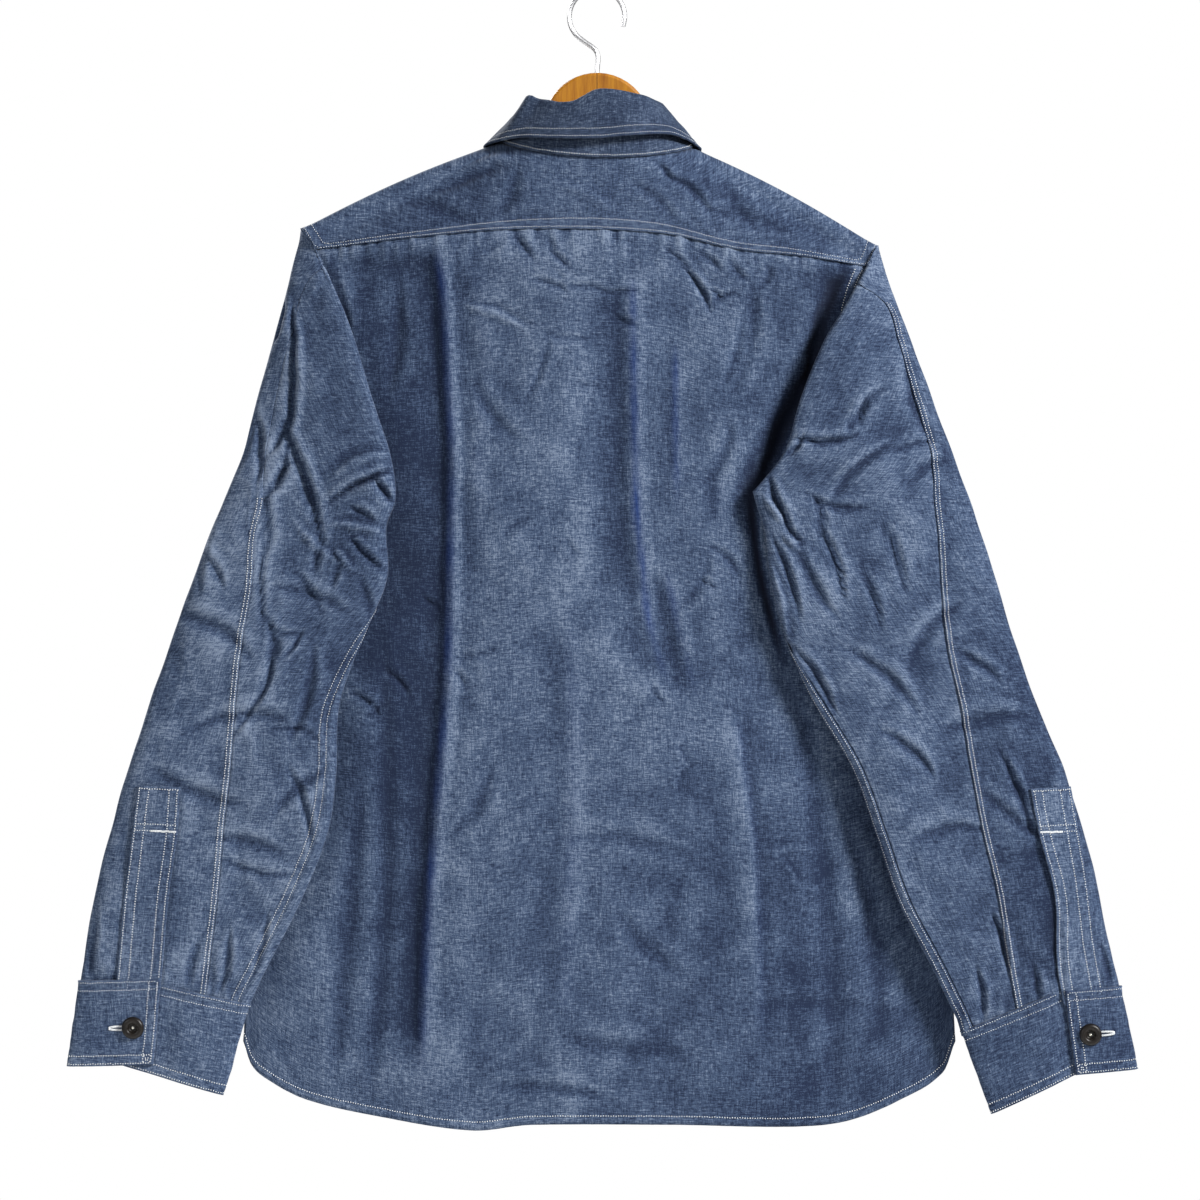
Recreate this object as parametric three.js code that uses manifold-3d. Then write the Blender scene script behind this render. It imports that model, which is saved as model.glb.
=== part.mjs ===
// A long-sleeved chambray work shirt hung on a wooden hanger, in millimetres.
// The origin is the inside top of the hanger's hook, where a rail carries it. +Z is up, and the
// shirt's back faces -Y, so the wearer's left is at -X. "down" is the distance below the hook.
import * as THREE from "three";
import { mergeVertices } from "three/addons/utils/BufferGeometryUtils.js";
import Module from "manifold-3d";

// ---- Driving dimensions ----
const CLOTH = 1.2; // wall of one layer of cloth
const LINED = 2; // wall of a cuff, which is two layers and an interlining
const COLLAR_WALL = 1.6;
const GAP = 0.35; // between layers that lie on each other
const SEAM_GAP = 0.6; // between the middles of two edges that meet at an angle, so that their walls clear
const LAP = CLOTH + GAP; // from one layer's middle to the next one's
const SIDE_SPREAD = 0.85; // half the distance between front and back at a side seam, which is a fold
const LENS = 0.9; // how round the flattened body is in plan: 0.5 is an ellipse, 1 a pointed lens
const OPEN_EDGE = 10; // half the gap between the front and back edges of an armhole
const RIDGE_DROP = 16; // height in which the yoke turns over the hanger's arm
const UNDERARM_DROP = 30; // height in which an armhole closes at the underarm
const UNDERARM_DOWN = 400;
const NECK = { halfWidth: 71, halfDepth: 28, sideDown: 116, backDip: 13, frontDip: 76 };
const TILT = 0.03; // the shirt hangs lower on its right by this share of the width
const YOKE = { backTurn: 0.4, frontTurn: 0.66, frontDrop: 35, crown: 4 }; // turns round the neck
const COLLAR = {
  stand: 33, roll: 12, sideRoll: 5, fall: 29, pointFall: 66, bend: 2.6, flare: 3, frontLift: 3,
  leanLeft: 38, leanRight: 44, overlap: 0.03, leafTurn: 0.955,
};
const FRONT_PLACKET = 34;
const HEM_SIDE_DOWN = 830; // where the side edges are read for the hem's ends
const FRONT_SHORTER = 4; // the fronts' hems hang this much above the back's
const BUTTON = { radius: 8.4, height: 3.4, hole: 2.9, rim: 1.5 };
const FRONT_BUTTONS = 7;
const HANGER = {
  headRadius: 41, headDown: 103, neckHalf: 34, neckDown: 16, armReach: 200, armRise: 26, armHeight: 30,
  tipHeight: 24, thickness: 12, bevel: 2.4, tiltDegrees: 1.6,
};
const HOOK = { wire: 1.9, radius: 21, screw: 22, clearance: 0.3, endDegrees: 200 };

// The shoulder points, where the arm's ridge meets the sleeve.
const SHOULDER = { left: { x: -222, down: 180 }, right: { x: 210.5, down: 193 } };

// Armhole edges and side seams seen from the back, and the body's depth in front and behind.
const ARMHOLES = [
  { down: 180, left: -222, right: 214 },
  { down: 197, left: -212, right: 209 },
  { down: 236, left: -199, right: 193.5 },
  { down: 280, left: -196, right: 190 },
  { down: 330, left: -203, right: 199 },
  { down: 370, left: -221, right: 218 },
  { down: 400, left: -243, right: 240 },
];
const SIDES = [
  { down: 400, left: -243, right: 240 },
  { down: 520, left: -250, right: 250 },
  { down: 660, left: -258, right: 262 },
  { down: 800, left: -268, right: 271.5 },
  { down: 870, left: -268, right: 271.5 },
];
const DEPTHS = [
  { down: 110, back: 28, front: 28 },
  { down: 190, back: 26, front: 27 },
  { down: 300, back: 23, front: 25 },
  { down: 420, back: 24, front: 24 },
  { down: 620, back: 25, front: 25 },
  { down: 800, back: 22, front: 23 },
  { down: 870, back: 20, front: 21 },
];
const YOKE_SEAM = [
  { x: -212, down: 196 },
  { x: -140, down: 188 },
  { x: -58, down: 182 },
  { x: 47, down: 185 },
  { x: 107, down: 197 },
  { x: 152, down: 201 },
  { x: 207, down: 209 },
];
const HEM = [
  { x: -268, down: 795 },
  { x: -262, down: 812 },
  { x: -250, down: 823 },
  { x: -220, down: 838 },
  { x: -165, down: 850 },
  { x: -94, down: 860 },
  { x: -50, down: 855.5 },
  { x: 60, down: 855.5 },
  { x: 150, down: 857.5 },
  { x: 190, down: 853.5 },
  { x: 230, down: 838 },
  { x: 262, down: 818 },
  { x: 271.5, down: 795 },
];

// Sleeve sections, one a column, from the shoulder to the cuff. out is the outer edge and fold the
// inner edge, where the sleeve turns under itself over the back; arm is how far down the armhole
// the section is sewn. puff is the hollow towards the back, sink the one behind. The two seams are
// in degrees round the sleeve from the fold, positive over the face that shows.
const SLEEVES = {
  left: {
    arm: [181, 197, 225, 262, 305, 348, 384, 400, 400, 400, 400, 400, 400, 400, 400, 400],
    outX: [
      -224.6, -227, -233, -243.5, -256, -267, -282, -292,
      -305, -321, -337, -352, -365, -376, -383.5, -389.5,
    ],
    out: [179, 198, 224, 264, 308, 352, 388, 413, 450, 495, 541, 586, 631, 675, 714, 749],
    foldX: [
      -223.6, -212, -199, -182, -168, -155, -151, -158,
      -157.5, -176, -193, -195.5, -202, -221, -243, -262.5,
    ],
    fold: [180.5, 197, 224, 266, 312, 352, 384, 408, 446, 490, 540, 592, 636, 684, 728, 766],
    outY: [0, -3, -6, -9, -11, -13, -15, -16, -17, -17, -17, -17, -16, -16, -15, -15],
    foldY: [-7, -12, -20, -24, -26, -27, -27, -27, -28, -28, -28, -28, -27, -25, -22, -19],
    puff: [1, 3, 6, 8, 9, 10, 10, 10, 10, 10, 10, 10, 9, 8, 7, 6],
    sink: [1, 2, 3, 3, 3, 3, 3, 3, 4, 6, 6.5, 6.5, 6.5, 6, 5.5, 5],
    backSeam: [0, 0, 105, 127, 134, 134, 122, 118, 112, 104, 95, 91, 88, 80, 71, 61],
    underSeam: [-5, -10, -35, -55, -70, -85, -103, -106, -50, 2, 23, 25, 26, 27, 28, 30],
  },
  right: {
    arm: [194, 212, 236, 268, 308, 350, 384, 400, 400, 400, 400, 400, 400, 400, 400, 400],
    outX: [213.4, 217.5, 225.5, 237, 252, 267, 280, 289, 301.5, 315, 331.5, 350, 364, 376, 384.5, 394],
    out: [192, 215, 238, 267, 307, 348.5, 386, 412, 451, 496, 542, 586, 630, 675, 717, 753],
    foldX: [212.6, 203, 188, 170, 153.5, 141, 121, 126, 131, 145, 168, 192, 210, 226, 251, 275],
    fold: [193.5, 212, 238, 268, 308, 349, 381, 411, 452, 498, 547, 588, 638, 686, 736, 786],
    outY: [0, -3, -6, -9, -11, -13, -15, -16, -17, -17, -17, -17, -16, -16, -15, -15],
    foldY: [-7, -12, -20, -25, -27, -29, -29, -29, -29, -29, -28, -28, -27, -25, -22, -19],
    puff: [1, 3, 6, 8, 9, 10, 10, 10, 10, 10, 10, 10, 9, 8, 7, 6],
    sink: [1, 2, 3, 3, 3, 3, 3, 3, 4, 6, 6.5, 6.5, 6.5, 6, 5.5, 5],
    backSeam: [0, 0, 118, 134, 138, 139, 132, 127, 120, 113, 107, 97, 92, 90, 82, 73],
    underSeam: [-5, -10, -35, -55, -72, -88, -100, -104, -50, 2, 21, 22, 23, 25, 28, 30],
  },
};
const UNDERARM_ROW = 7; // the section that passes the underarm
const TUCK = 0.3; // share of a section in which the sleeve goes from the armhole to behind the body

// Sleeve plackets: where the strip starts along the sleeve, and its edges across the face that
// shows, as shares of the width from the outer edge.
const PLACKETS = {
  left: { start: 11.3, topOut: 0.08, topIn: 0.28, cuffOut: 0.225, cuffIn: 0.485 },
  right: { start: 11.35, topOut: 0.01, topIn: 0.2, cuffOut: 0.115, cuffIn: 0.37 },
};

// Cuffs: the edges at the sleeve and at the hand, and the overlap's free end across the face.
const CUFFS = {
  left: {
    top: { outX: -389.5, out: 749.6, foldX: -262.5, fold: 766.6, open: 0.49 },
    hand: { outX: -398.3, out: 812, foldX: -281.3, fold: 833, open: 0.56 },
    button: { across: 0.41, along: 0.5 },
  },
  right: {
    top: { outX: 394, out: 753.6, foldX: 275, fold: 786.6, open: 0.365 },
    hand: { outX: 406.5, out: 814, foldX: 297, fold: 847, open: 0.43 },
    button: { across: 0.21, along: 0.51 },
  },
};
const CUFF = { outY: -15, foldY: -19, puff: 6.5, sink: 5.5, underlap: 26, dip: 3 };

// The main soft folds: a trough (positive) or a ridge from one end to the other.
const BACK_FOLDS = [
  { fromX: -112, from: 215, toX: -122, to: 800, width: 16, depth: 3 },
  { fromX: -60, from: 190, toX: -48, to: 330, width: 9, depth: 2 },
  { fromX: 34, from: 205, toX: 30, to: 520, width: 14, depth: 2.6 },
  { fromX: 74, from: 300, toX: 66, to: 640, width: 12, depth: -2.2 },
  { fromX: -20, from: 420, toX: 8, to: 850, width: 26, depth: -3 },
  { fromX: 118, from: 560, toX: 150, to: 850, width: 24, depth: 3 },
  { fromX: -180, from: 600, toX: -190, to: 840, width: 20, depth: 2.5 },
];
const SLEEVE_FOLDS = {
  left: [
    { fromX: -230, from: 258, toX: -250, to: 340, width: 9, depth: 3 },
    { fromX: -232, from: 330, toX: -202, to: 440, width: 10, depth: 3.5 },
    { fromX: -190, from: 352, toX: -166, to: 392, width: 8, depth: 3 },
    { fromX: -300, from: 560, toX: -232, to: 548, width: 10, depth: 2.5 },
  ],
  right: [
    { fromX: 158, from: 338, toX: 212, to: 330, width: 9, depth: 3 },
    { fromX: 134, from: 384, toX: 190, to: 372, width: 9, depth: 3.5 },
    { fromX: 236, from: 505, toX: 262, to: 470, width: 9, depth: 2.5 },
    { fromX: 286, from: 690, toX: 300, to: 735, width: 7, depth: 2.5 },
  ],
};

const CHAMBRAY = { color: 0x55667f, roughness: 0.92, metalness: 0 };
const COLLAR_CHAMBRAY = { color: 0x4a5c74, roughness: 0.92, metalness: 0 };
const DONUT = { color: 0x2a211a, roughness: 0.4, metalness: 0 };
const WOOD = { color: 0xb67f27, roughness: 0.45, metalness: 0 };
const STEEL = { color: 0xb9bcbf, roughness: 0.28, metalness: 1 };

// ---- Small tools ----
const { PI, abs, acos, asin, cos, hypot, max, min, sign, sin, sqrt } = Math;
const clamp01 = (t) => min(1, max(0, t));
const mix = (a, b, t) => a + (b - a) * t;
const smooth = (t) => clamp01(t) ** 2 * (3 - 2 * clamp01(t));
const radians = (degrees) => (degrees * PI) / 180;
const point = (x, y, down) => new THREE.Vector3(x, y, -down);
const sideSign = (side) => (side === "left" ? -1 : 1);

// A column of a table at any place along its key column, on a smooth curve through the rows.
function read(rows, key, at, column) {
  const place = (i) => rows[i][key];
  let i = 0;
  while (i < rows.length - 2 && place(i + 1) < at) i++;
  const slope = (j) => {
    const a = max(0, j - 1);
    const b = min(rows.length - 1, j + 1);
    return (rows[b][column] - rows[a][column]) / (place(b) - place(a));
  };
  const step = place(i + 1) - place(i);
  const t = clamp01((at - place(i)) / step);
  const [p, q] = [rows[i][column], rows[i + 1][column]];
  return (
    (1 + 2 * t) * (1 - t) ** 2 * p +
    t * (1 - t) ** 2 * step * slope(i) +
    t * t * (3 - 2 * t) * q -
    t * t * (1 - t) * step * slope(i + 1)
  );
}

// How far the soft folds of a table push a point of the cloth inwards.
function foldDepth(folds, x, down) {
  let depth = 0;
  for (const f of folds) {
    const [runX, run] = [f.toX - f.fromX, f.to - f.from];
    const length = hypot(runX, run);
    const along = ((x - f.fromX) * runX + (down - f.from) * run) / length ** 2;
    const across = ((x - f.fromX) * run - (down - f.from) * runX) / length;
    const fade = smooth(along / 0.2) * smooth((1 - along) / 0.2);
    depth += f.depth * fade * Math.exp(-((across / f.width) ** 2));
  }
  return depth;
}

// ---- The body's surface ----
// The body's edge seen from the back: the armhole above the underarm, the side seam below.
function bodyEdge(side, down) {
  return read(down < UNDERARM_DOWN ? ARMHOLES : SIDES, "down", down, side);
}

// Half the gap between the front and back edges of an armhole.
function armholeGap(side, down) {
  const below = down - SHOULDER[side].down;
  const over = (1 - (1 - clamp01(below / RIDGE_DROP)) ** 4) ** 0.25;
  const under = sqrt(1 - (1 - clamp01((UNDERARM_DOWN - down) / UNDERARM_DROP)) ** 2);
  return OPEN_EDGE * over * under;
}

// y of the body's front (face 1) or back (face -1), or of a layer that lies out from it.
function bodyY(face, x, down, out = 0) {
  const left = bodyEdge("left", down) - out;
  const right = bodyEdge("right", down) + out;
  const across = (2 * x - left - right) / (right - left);
  const gap = armholeGap(x < 0 ? "left" : "right", down);
  const edge = max(gap, SIDE_SPREAD);
  const depth = read(DEPTHS, "down", down, face < 0 ? "back" : "front") + out;
  const round = max(0, 1 - across * across) ** mix(LENS, 1, gap / OPEN_EDGE);
  return face * (edge + (depth - edge) * round);
}

// The neck seam: turn is 0 at the middle of the back, -1/2 and 1/2 at the sides, 1 in front.
function neckPoint(turn) {
  const facing = cos(PI * turn);
  const x = NECK.halfWidth * sin(PI * turn);
  const dip = facing > 0 ? NECK.backDip : NECK.frontDip;
  const down = NECK.sideDown + dip * abs(facing) ** 1.3 + TILT * x;
  return point(x, -NECK.halfDepth * facing, down);
}

// A corner or edge point of an armhole, on its front or back.
function armholePoint(side, face, down) {
  return point(bodyEdge(side, down), face * max(armholeGap(side, down), SIDE_SPREAD), down);
}

// The yoke's outer edge: along the back seam, then over each shoulder to the front seam.
function yokeEdge(turn) {
  const reach = abs(turn);
  const side = turn < 0 ? "left" : "right";
  const top = SHOULDER[side].down;
  if (reach <= YOKE.backTurn) {
    const across = (turn / YOKE.backTurn + 1) / 2;
    const corner = (name) => bodyEdge(name, SHOULDER[name].down + RIDGE_DROP);
    const x = mix(corner("left"), corner("right"), across);
    const down = read(YOKE_SEAM, "x", x, "down");
    return point(x, bodyY(-1, x, down), down);
  }
  const face = reach < 0.5 ? -1 : 1;
  const span = face < 0 ? 0.5 - YOKE.backTurn : YOKE.frontTurn - 0.5;
  const t = abs(reach - 0.5) / span;
  const round = (min(1, t * (face < 0 ? 1 : 2)) * PI) / 2;
  const drop = RIDGE_DROP * (1 - sqrt(cos(round)));
  const rest = face < 0 ? 0 : max(0, 2 * t - 1) * (YOKE.frontDrop - RIDGE_DROP);
  const down = top + drop + rest;
  return point(bodyEdge(side, down), face * OPEN_EDGE * sqrt(sin(round)), down);
}

// Shares of the yoke's columns: a quarter on each shoulder, its ridge in the middle of that.
function yokeTurn(share) {
  const reach = abs(2 * share - 1);
  const { backTurn, frontTurn } = YOKE;
  let turn = mix(0.5, frontTurn, (reach - 0.75) * 4);
  if (reach < 0.75) turn = mix(backTurn, 0.5, (reach - 0.5) * 4);
  if (reach < 0.5) turn = reach * 2 * backTurn;
  return turn * sign(2 * share - 1);
}

// The yoke, from the neck seam (0) to its outer edge (1).
function yokePoint(turn, out) {
  const place = neckPoint(turn).lerp(yokeEdge(turn), out);
  const ridge = smooth(1 - abs(abs(turn) - 0.5) / 0.16);
  place.z += YOKE.crown * ridge * sin(PI * out);
  return place;
}

// Shares of the way across, closer together at the sides, where the cloth turns.
const crowded = (share) => (1 - cos(PI * share)) / 2;

// Shares of the way down the body's rows, closer together where the armholes close.
function bodyRow(share) {
  const [above, below, start, end] = [0.2, 0.55, 0.2, 0.4];
  if (share < above) return (start * share) / above;
  if (share < below) return mix(start, end, (share - above) / (below - above));
  return mix(end, 1, (share - below) / (1 - below));
}

// The back below the yoke: share runs from the left side to the right, along from seam to hem.
function backPoint(share, along) {
  const turn = YOKE.backTurn * (2 * crowded(share) - 1);
  const seam = yokeEdge(turn);
  const top = -seam.z + 1.5 * SEAM_GAP;
  const hemX = mix(bodyEdge("left", HEM_SIDE_DOWN), bodyEdge("right", HEM_SIDE_DOWN), crowded(share));
  const down = mix(top, read(HEM, "x", hemX, "down"), along);
  const x = mix(bodyEdge("left", down), bodyEdge("right", down), crowded(share));
  const y = bodyY(-1, x, down) + foldDepth(BACK_FOLDS, x, down) * bodyMiddle(x, down);
  const lead = (1 - smooth(along / 0.12)) * (1 - abs(2 * share - 1) ** 4);
  return point(mix(x, seam.x, lead), mix(y, seam.y, lead), down);
}

// 1 over the middle of the body and 0 at its edges, so that folds leave the seams in place.
function bodyMiddle(x, down) {
  return smooth((x - bodyEdge("left", down)) / 40) * smooth((bodyEdge("right", down) - x) / 40);
}

// A front's top edge: along the yoke's front seam, then down the neck.
const SEAM_SHARE = 2 / 3; // how much of it is the yoke's seam
function frontTop(side, share, endX) {
  const s = sideSign(side);
  if (share < SEAM_SHARE) return yokePoint(s * YOKE.frontTurn, 1 - share / SEAM_SHARE);
  const t = (share - SEAM_SHARE) / (1 - SEAM_SHARE);
  const endTurn = 1 - asin(endX / (s * NECK.halfWidth)) / PI;
  return neckPoint(s * mix(YOKE.frontTurn, endTurn, t));
}

// A front: share runs from its side seam to its edge at the middle, along from the top to the hem.
function frontPoint(side, share, along, endX, lift) {
  const top = frontTop(side, share, endX);
  const sideX = (down) => bodyEdge(side, down);
  const inwards = 1 - cos((PI / 2) * share);
  const hem = read(HEM, "x", mix(sideX(HEM_SIDE_DOWN), endX, inwards), "down") - FRONT_SHORTER;
  const down = mix(-top.z + SEAM_GAP, hem, along);
  const x = mix(sideX(down), endX, inwards);
  const raise = lift * smooth((share - 0.6) / 0.3);
  const lead = 1 - smooth(along / 0.16);
  const y = mix(bodyY(1, x, down), top.y, lead * smooth(share / 0.1)) + raise;
  return point(mix(x, top.x, lead * smooth(share / 0.1)), y, down);
}

// ---- The sleeves ----
// A point of the armhole seam on the sleeve, which laps over the body's edge: out from the
// rounded ridge at the shoulder, and sideways at the underarm.
const SHOULDER_LAP = 0.6;
const SHOULDER_OUT = 2;
const UNDERARM_LAP = LAP + 2.2;
function sleeveSeam(side, face, down) {
  const place = armholePoint(side, face, down);
  const left = 1 - clamp01((down - SHOULDER[side].down) / RIDGE_DROP);
  const outwards = (1 - left ** 4) ** 0.75 / OPEN_EDGE;
  const upwards = left ** 3 / RIDGE_DROP;
  const tilt = Math.atan2(upwards, outwards);
  const under = smooth(1 - (UNDERARM_DOWN - down) / UNDERARM_DROP) * radians(90);
  place.z += SHOULDER_LAP * sin(tilt);
  place.x += sideSign(side) * (UNDERARM_LAP * sin(under) + SHOULDER_OUT * sin(tilt));
  place.y += LAP * face * cos(tilt) * max(cos(under), 0.35);
  return place;
}

// The sleeve's closed section with no body in it. angle is in radians from the fold.
function sleeveRing(row, angle) {
  const share = (1 + cos(angle)) / 2;
  const hollow = angle % (2 * PI) > 0 && sin(angle) > 0 ? -row.puff : row.sink;
  const round = abs(sin(angle)) ** 0.6;
  return point(
    mix(row.outX, row.foldX, share),
    mix(row.outY, row.foldY, share) + hollow * round,
    mix(row.out, row.fold, share),
  );
}

// A sleeve's section at any place between two of the table's.
function sleeveRow(side, at) {
  const values = (list) => list.map((value, section) => ({ section, value }));
  const row = {};
  for (const [name, list] of Object.entries(SLEEVES[side])) {
    row[name] = read(values(list), "section", at, "value");
  }
  return row;
}

const BEHIND_BODY = LAP + 1.5; // how far behind the back the sleeve's hidden layer stays
// A sleeve's surface: at is the section, angle the way round it in radians from the fold.
function sleevePoint(side, at, angle) {
  const row = sleeveRow(side, at);
  const place = sleeveRing(row, angle);
  const seam = radians(row.underSeam);
  const hold = 1 - smooth((at - UNDERARM_ROW) / TUCK);
  const holdSideways = 1 - smooth((at - UNDERARM_ROW) / (4 * TUCK));
  if (holdSideways > 0) {
    const arm = min(row.arm, UNDERARM_DOWN);
    const behind = sleeveSeam(side, -1, arm).sub(sleeveRing(row, seam));
    const before = sleeveSeam(side, 1, arm).sub(sleeveRing(row, seam + 2 * PI));
    const early = clamp01(1 + seam / 0.9);
    let pull = 0;
    if (angle <= 0) pull = mix(smooth(angle / min(seam, -0.01)) ** 2, 1, early);
    else pull = early * (1 - smooth(angle / 1.4));
    const wrap = angle > PI ? smooth((angle - PI) / (seam + PI)) : 0;
    place.x += (behind.x * pull + before.x * wrap) * (holdSideways - hold);
    place.addScaledVector(behind, pull * hold).addScaledVector(before, wrap * hold);
  }
  if (angle > 0 && angle < PI) {
    place.y += foldDepth(SLEEVE_FOLDS[side], place.x, -place.z) * sin(angle) ** 0.5;
  } else if (angle <= 0 || at > UNDERARM_ROW) {
    const past = sideSign(side) * bodyEdge(side, -place.z) - abs(place.x);
    const limit = bodyY(-1, place.x, -place.z, BEHIND_BODY) - CLOTH - 3.2 * smooth((past + 4) / 7);
    const inside = smooth((past + UNDERARM_LAP - 0.1) / 1.4);
    place.y = mix(place.y, min(place.y, limit), inside);
  }
  return place;
}

const LAST_ROW = SLEEVES.left.arm.length - 1;
const SLEEVE_ROWS = 25; // rows of the sleeve's wall, of which the armhole takes the first
const ARMHOLE_ROWS = 12;
const TIP_ROW = 2; // the row where the under sleeve's point begins
const TIP_ANGLE = 0.1;

// The section a row of the sleeve's wall lies at.
function sectionAt(row) {
  const below = row - ARMHOLE_ROWS;
  if (below <= 0) return (row * UNDERARM_ROW) / ARMHOLE_ROWS;
  if (below < 1) return UNDERARM_ROW + below * TUCK;
  return mix(UNDERARM_ROW + TUCK, LAST_ROW, (below - 1) / (SLEEVE_ROWS - ARMHOLE_ROWS - 1));
}

// The angles of a sleeve's two seams at a section, and how far each piece's edge stays back
// from them to leave the gap.
function seamAngles(side, at) {
  const row = sleeveRow(side, at);
  const under = radians(row.underSeam);
  const pointed = smooth((at - sectionAt(TIP_ROW)) / sectionAt(1));
  const back = mix(under + TIP_ANGLE, radians(row.backSeam), pointed);
  const slack = (angle) => {
    const here = sleevePoint(side, at, angle);
    const step = 0.02;
    const reach = [step, -step].map((turn) => here.distanceTo(sleevePoint(side, at, angle + turn)));
    return (1.6 * SEAM_GAP * step) / max(min(...reach), 3 * step);
  };
  return { under, back, underSlack: slack(under), backSlack: slack(back) };
}

function topSleevePoint(side, share, along) {
  const at = sectionAt(along * SLEEVE_ROWS);
  const { under, back, underSlack, backSlack } = seamAngles(side, at);
  const from = at < sectionAt(TIP_ROW) - 0.01 ? under : back;
  return sleevePoint(side, at, mix(from + backSlack, under + 2 * PI - underSlack, share));
}

function underSleevePoint(side, share, along) {
  const at = sectionAt(max(TIP_ROW + 0.2, mix(TIP_ROW, SLEEVE_ROWS, along)));
  const { under, back, underSlack, backSlack } = seamAngles(side, at);
  return sleevePoint(side, at, mix(under + underSlack, back - backSlack, share ** 1.8));
}

// ---- Walls ----
// A wall of cloth: an open sheet given as a grid of points, thickened to both sides along its
// normals and closed round its edge.
function wall(columns, rows, place, thickness) {
  const points = [];
  for (let r = 0; r <= rows; r++) {
    for (let c = 0; c <= columns; c++) points.push(place(c / columns, r / rows));
  }
  const faces = [];
  const id = (r, c) => r * (columns + 1) + c;
  for (let r = 0; r < rows; r++) {
    for (let c = 0; c < columns; c++) {
      const [a, b, d, e] = [id(r, c), id(r, c + 1), id(r + 1, c), id(r + 1, c + 1)];
      const straight = points[a].distanceTo(points[e]) < points[b].distanceTo(points[d]);
      faces.push(...(straight ? [a, d, e, a, e, b] : [a, d, b, b, d, e]));
    }
  }
  const sheet = new THREE.BufferGeometry().setFromPoints(points).setIndex(faces);
  sheet.computeVertexNormals();
  const normals = sheet.getAttribute("normal");
  const sides = [0.5, -0.5].map((half) =>
    points.map((p, i) =>
      p.clone().addScaledVector(new THREE.Vector3().fromBufferAttribute(normals, i), half * thickness),
    ),
  );
  const count = points.length;
  const closed = [...faces];
  for (let i = 0; i < faces.length; i += 3) {
    closed.push(faces[i] + count, faces[i + 2] + count, faces[i + 1] + count);
  }
  const rim = [];
  for (let r = 0; r < rows; r++) rim.push([id(r, 0), id(r + 1, 0)]);
  for (let c = 0; c < columns; c++) rim.push([id(rows, c), id(rows, c + 1)]);
  for (let r = rows; r > 0; r--) rim.push([id(r, columns), id(r - 1, columns)]);
  for (let c = columns; c > 0; c--) rim.push([id(0, c), id(0, c - 1)]);
  for (const [a, b] of rim) closed.push(b, a, a + count, b, a + count, b + count);
  return new THREE.BufferGeometry().setFromPoints(sides.flat()).setIndex(closed);
}

// A point's unit normal on a surface of two shares, for pieces that lie on it or stand out of it.
function normalOf(place, share, along) {
  const step = 1e-3;
  const u = place(share + step, along).sub(place(share - step, along));
  const v = place(share, along + step).sub(place(share, along - step));
  return u.cross(v).normalize();
}

const shirt = new THREE.Group();
function add(name, geometry, finish, parent = shirt) {
  const mesh = new THREE.Mesh(geometry, new THREE.MeshStandardMaterial(finish));
  mesh.name = name;
  parent.add(mesh);
  return mesh;
}

// ---- Body ----
function addBody() {
  add("back_panel", wall(16, 18, (share, along) => backPoint(share, bodyRow(along)), CLOTH), CHAMBRAY);
  const yoke = (share, along) => yokePoint(yokeTurn(share), along);
  add("back_yoke", wall(32, 4, yoke, CLOTH), CHAMBRAY);
  const half = FRONT_PLACKET / 2;
  const right = (share, along) => frontPoint("right", share, bodyRow(along), 1 - half, 0);
  const left = (share, along) => frontPoint("left", share, bodyRow(along), half - 1, LAP + GAP);
  add("front_right", wall(8, 18, right, CLOTH), CHAMBRAY);
  add("front_left", wall(8, 18, left, CLOTH), CHAMBRAY);
  const strip = (share, along) => placketPoint(share, bodyRow(along));
  add("front_placket", wall(2, 18, strip, CLOTH), CHAMBRAY);
}

// The front placket's strip, over the left front's edge.
function placketPoint(share, along) {
  const half = FRONT_PLACKET / 2;
  const x = mix(-half, half, share);
  const angle = 1 - asin(x / NECK.halfWidth) / PI;
  const top = neckPoint(angle);
  const down = mix(-top.z + GAP, read(HEM, "x", x, "down") - FRONT_SHORTER, along);
  const lead = 1 - smooth(along / 0.16);
  return point(x, mix(bodyY(1, x, down), top.y, lead) + 2 * (LAP + GAP) + 0.3, down);
}

// ---- Collar ----
// A ring round the neck: turn -1 to 1 as at the neck seam. up is along the stand, which leans in
// at the sides, and out is square to it, away from the neck.
function collarRing(turn, up, out) {
  const facing = cos(PI * turn);
  const sidewards = sin(PI * turn);
  const most = turn < 0 ? COLLAR.leanLeft : COLLAR.leanRight;
  const lean = radians(most) * abs(sidewards) ** 1.5;
  const away = new THREE.Vector3(sidewards * NECK.halfDepth, -facing * NECK.halfWidth, 0);
  away.normalize();
  const place = neckPoint(turn).addScaledVector(away, out * cos(lean));
  place.x -= sign(sidewards) * up * sin(lean);
  place.z += up * cos(lean) + out * sin(lean);
  return place;
}

const COLLAR_BASE = 2.3; // from the neck seam up to the stand's lower edge
function standPoint(share, along) {
  const turn = mix(-1, 1, share) * (1 + COLLAR.overlap);
  const overlap = 1.8 * smooth((abs(turn) - 0.86) / 0.1) * -sign(turn);
  return collarRing(turn, mix(COLLAR_BASE, COLLAR.stand, along), overlap);
}

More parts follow.
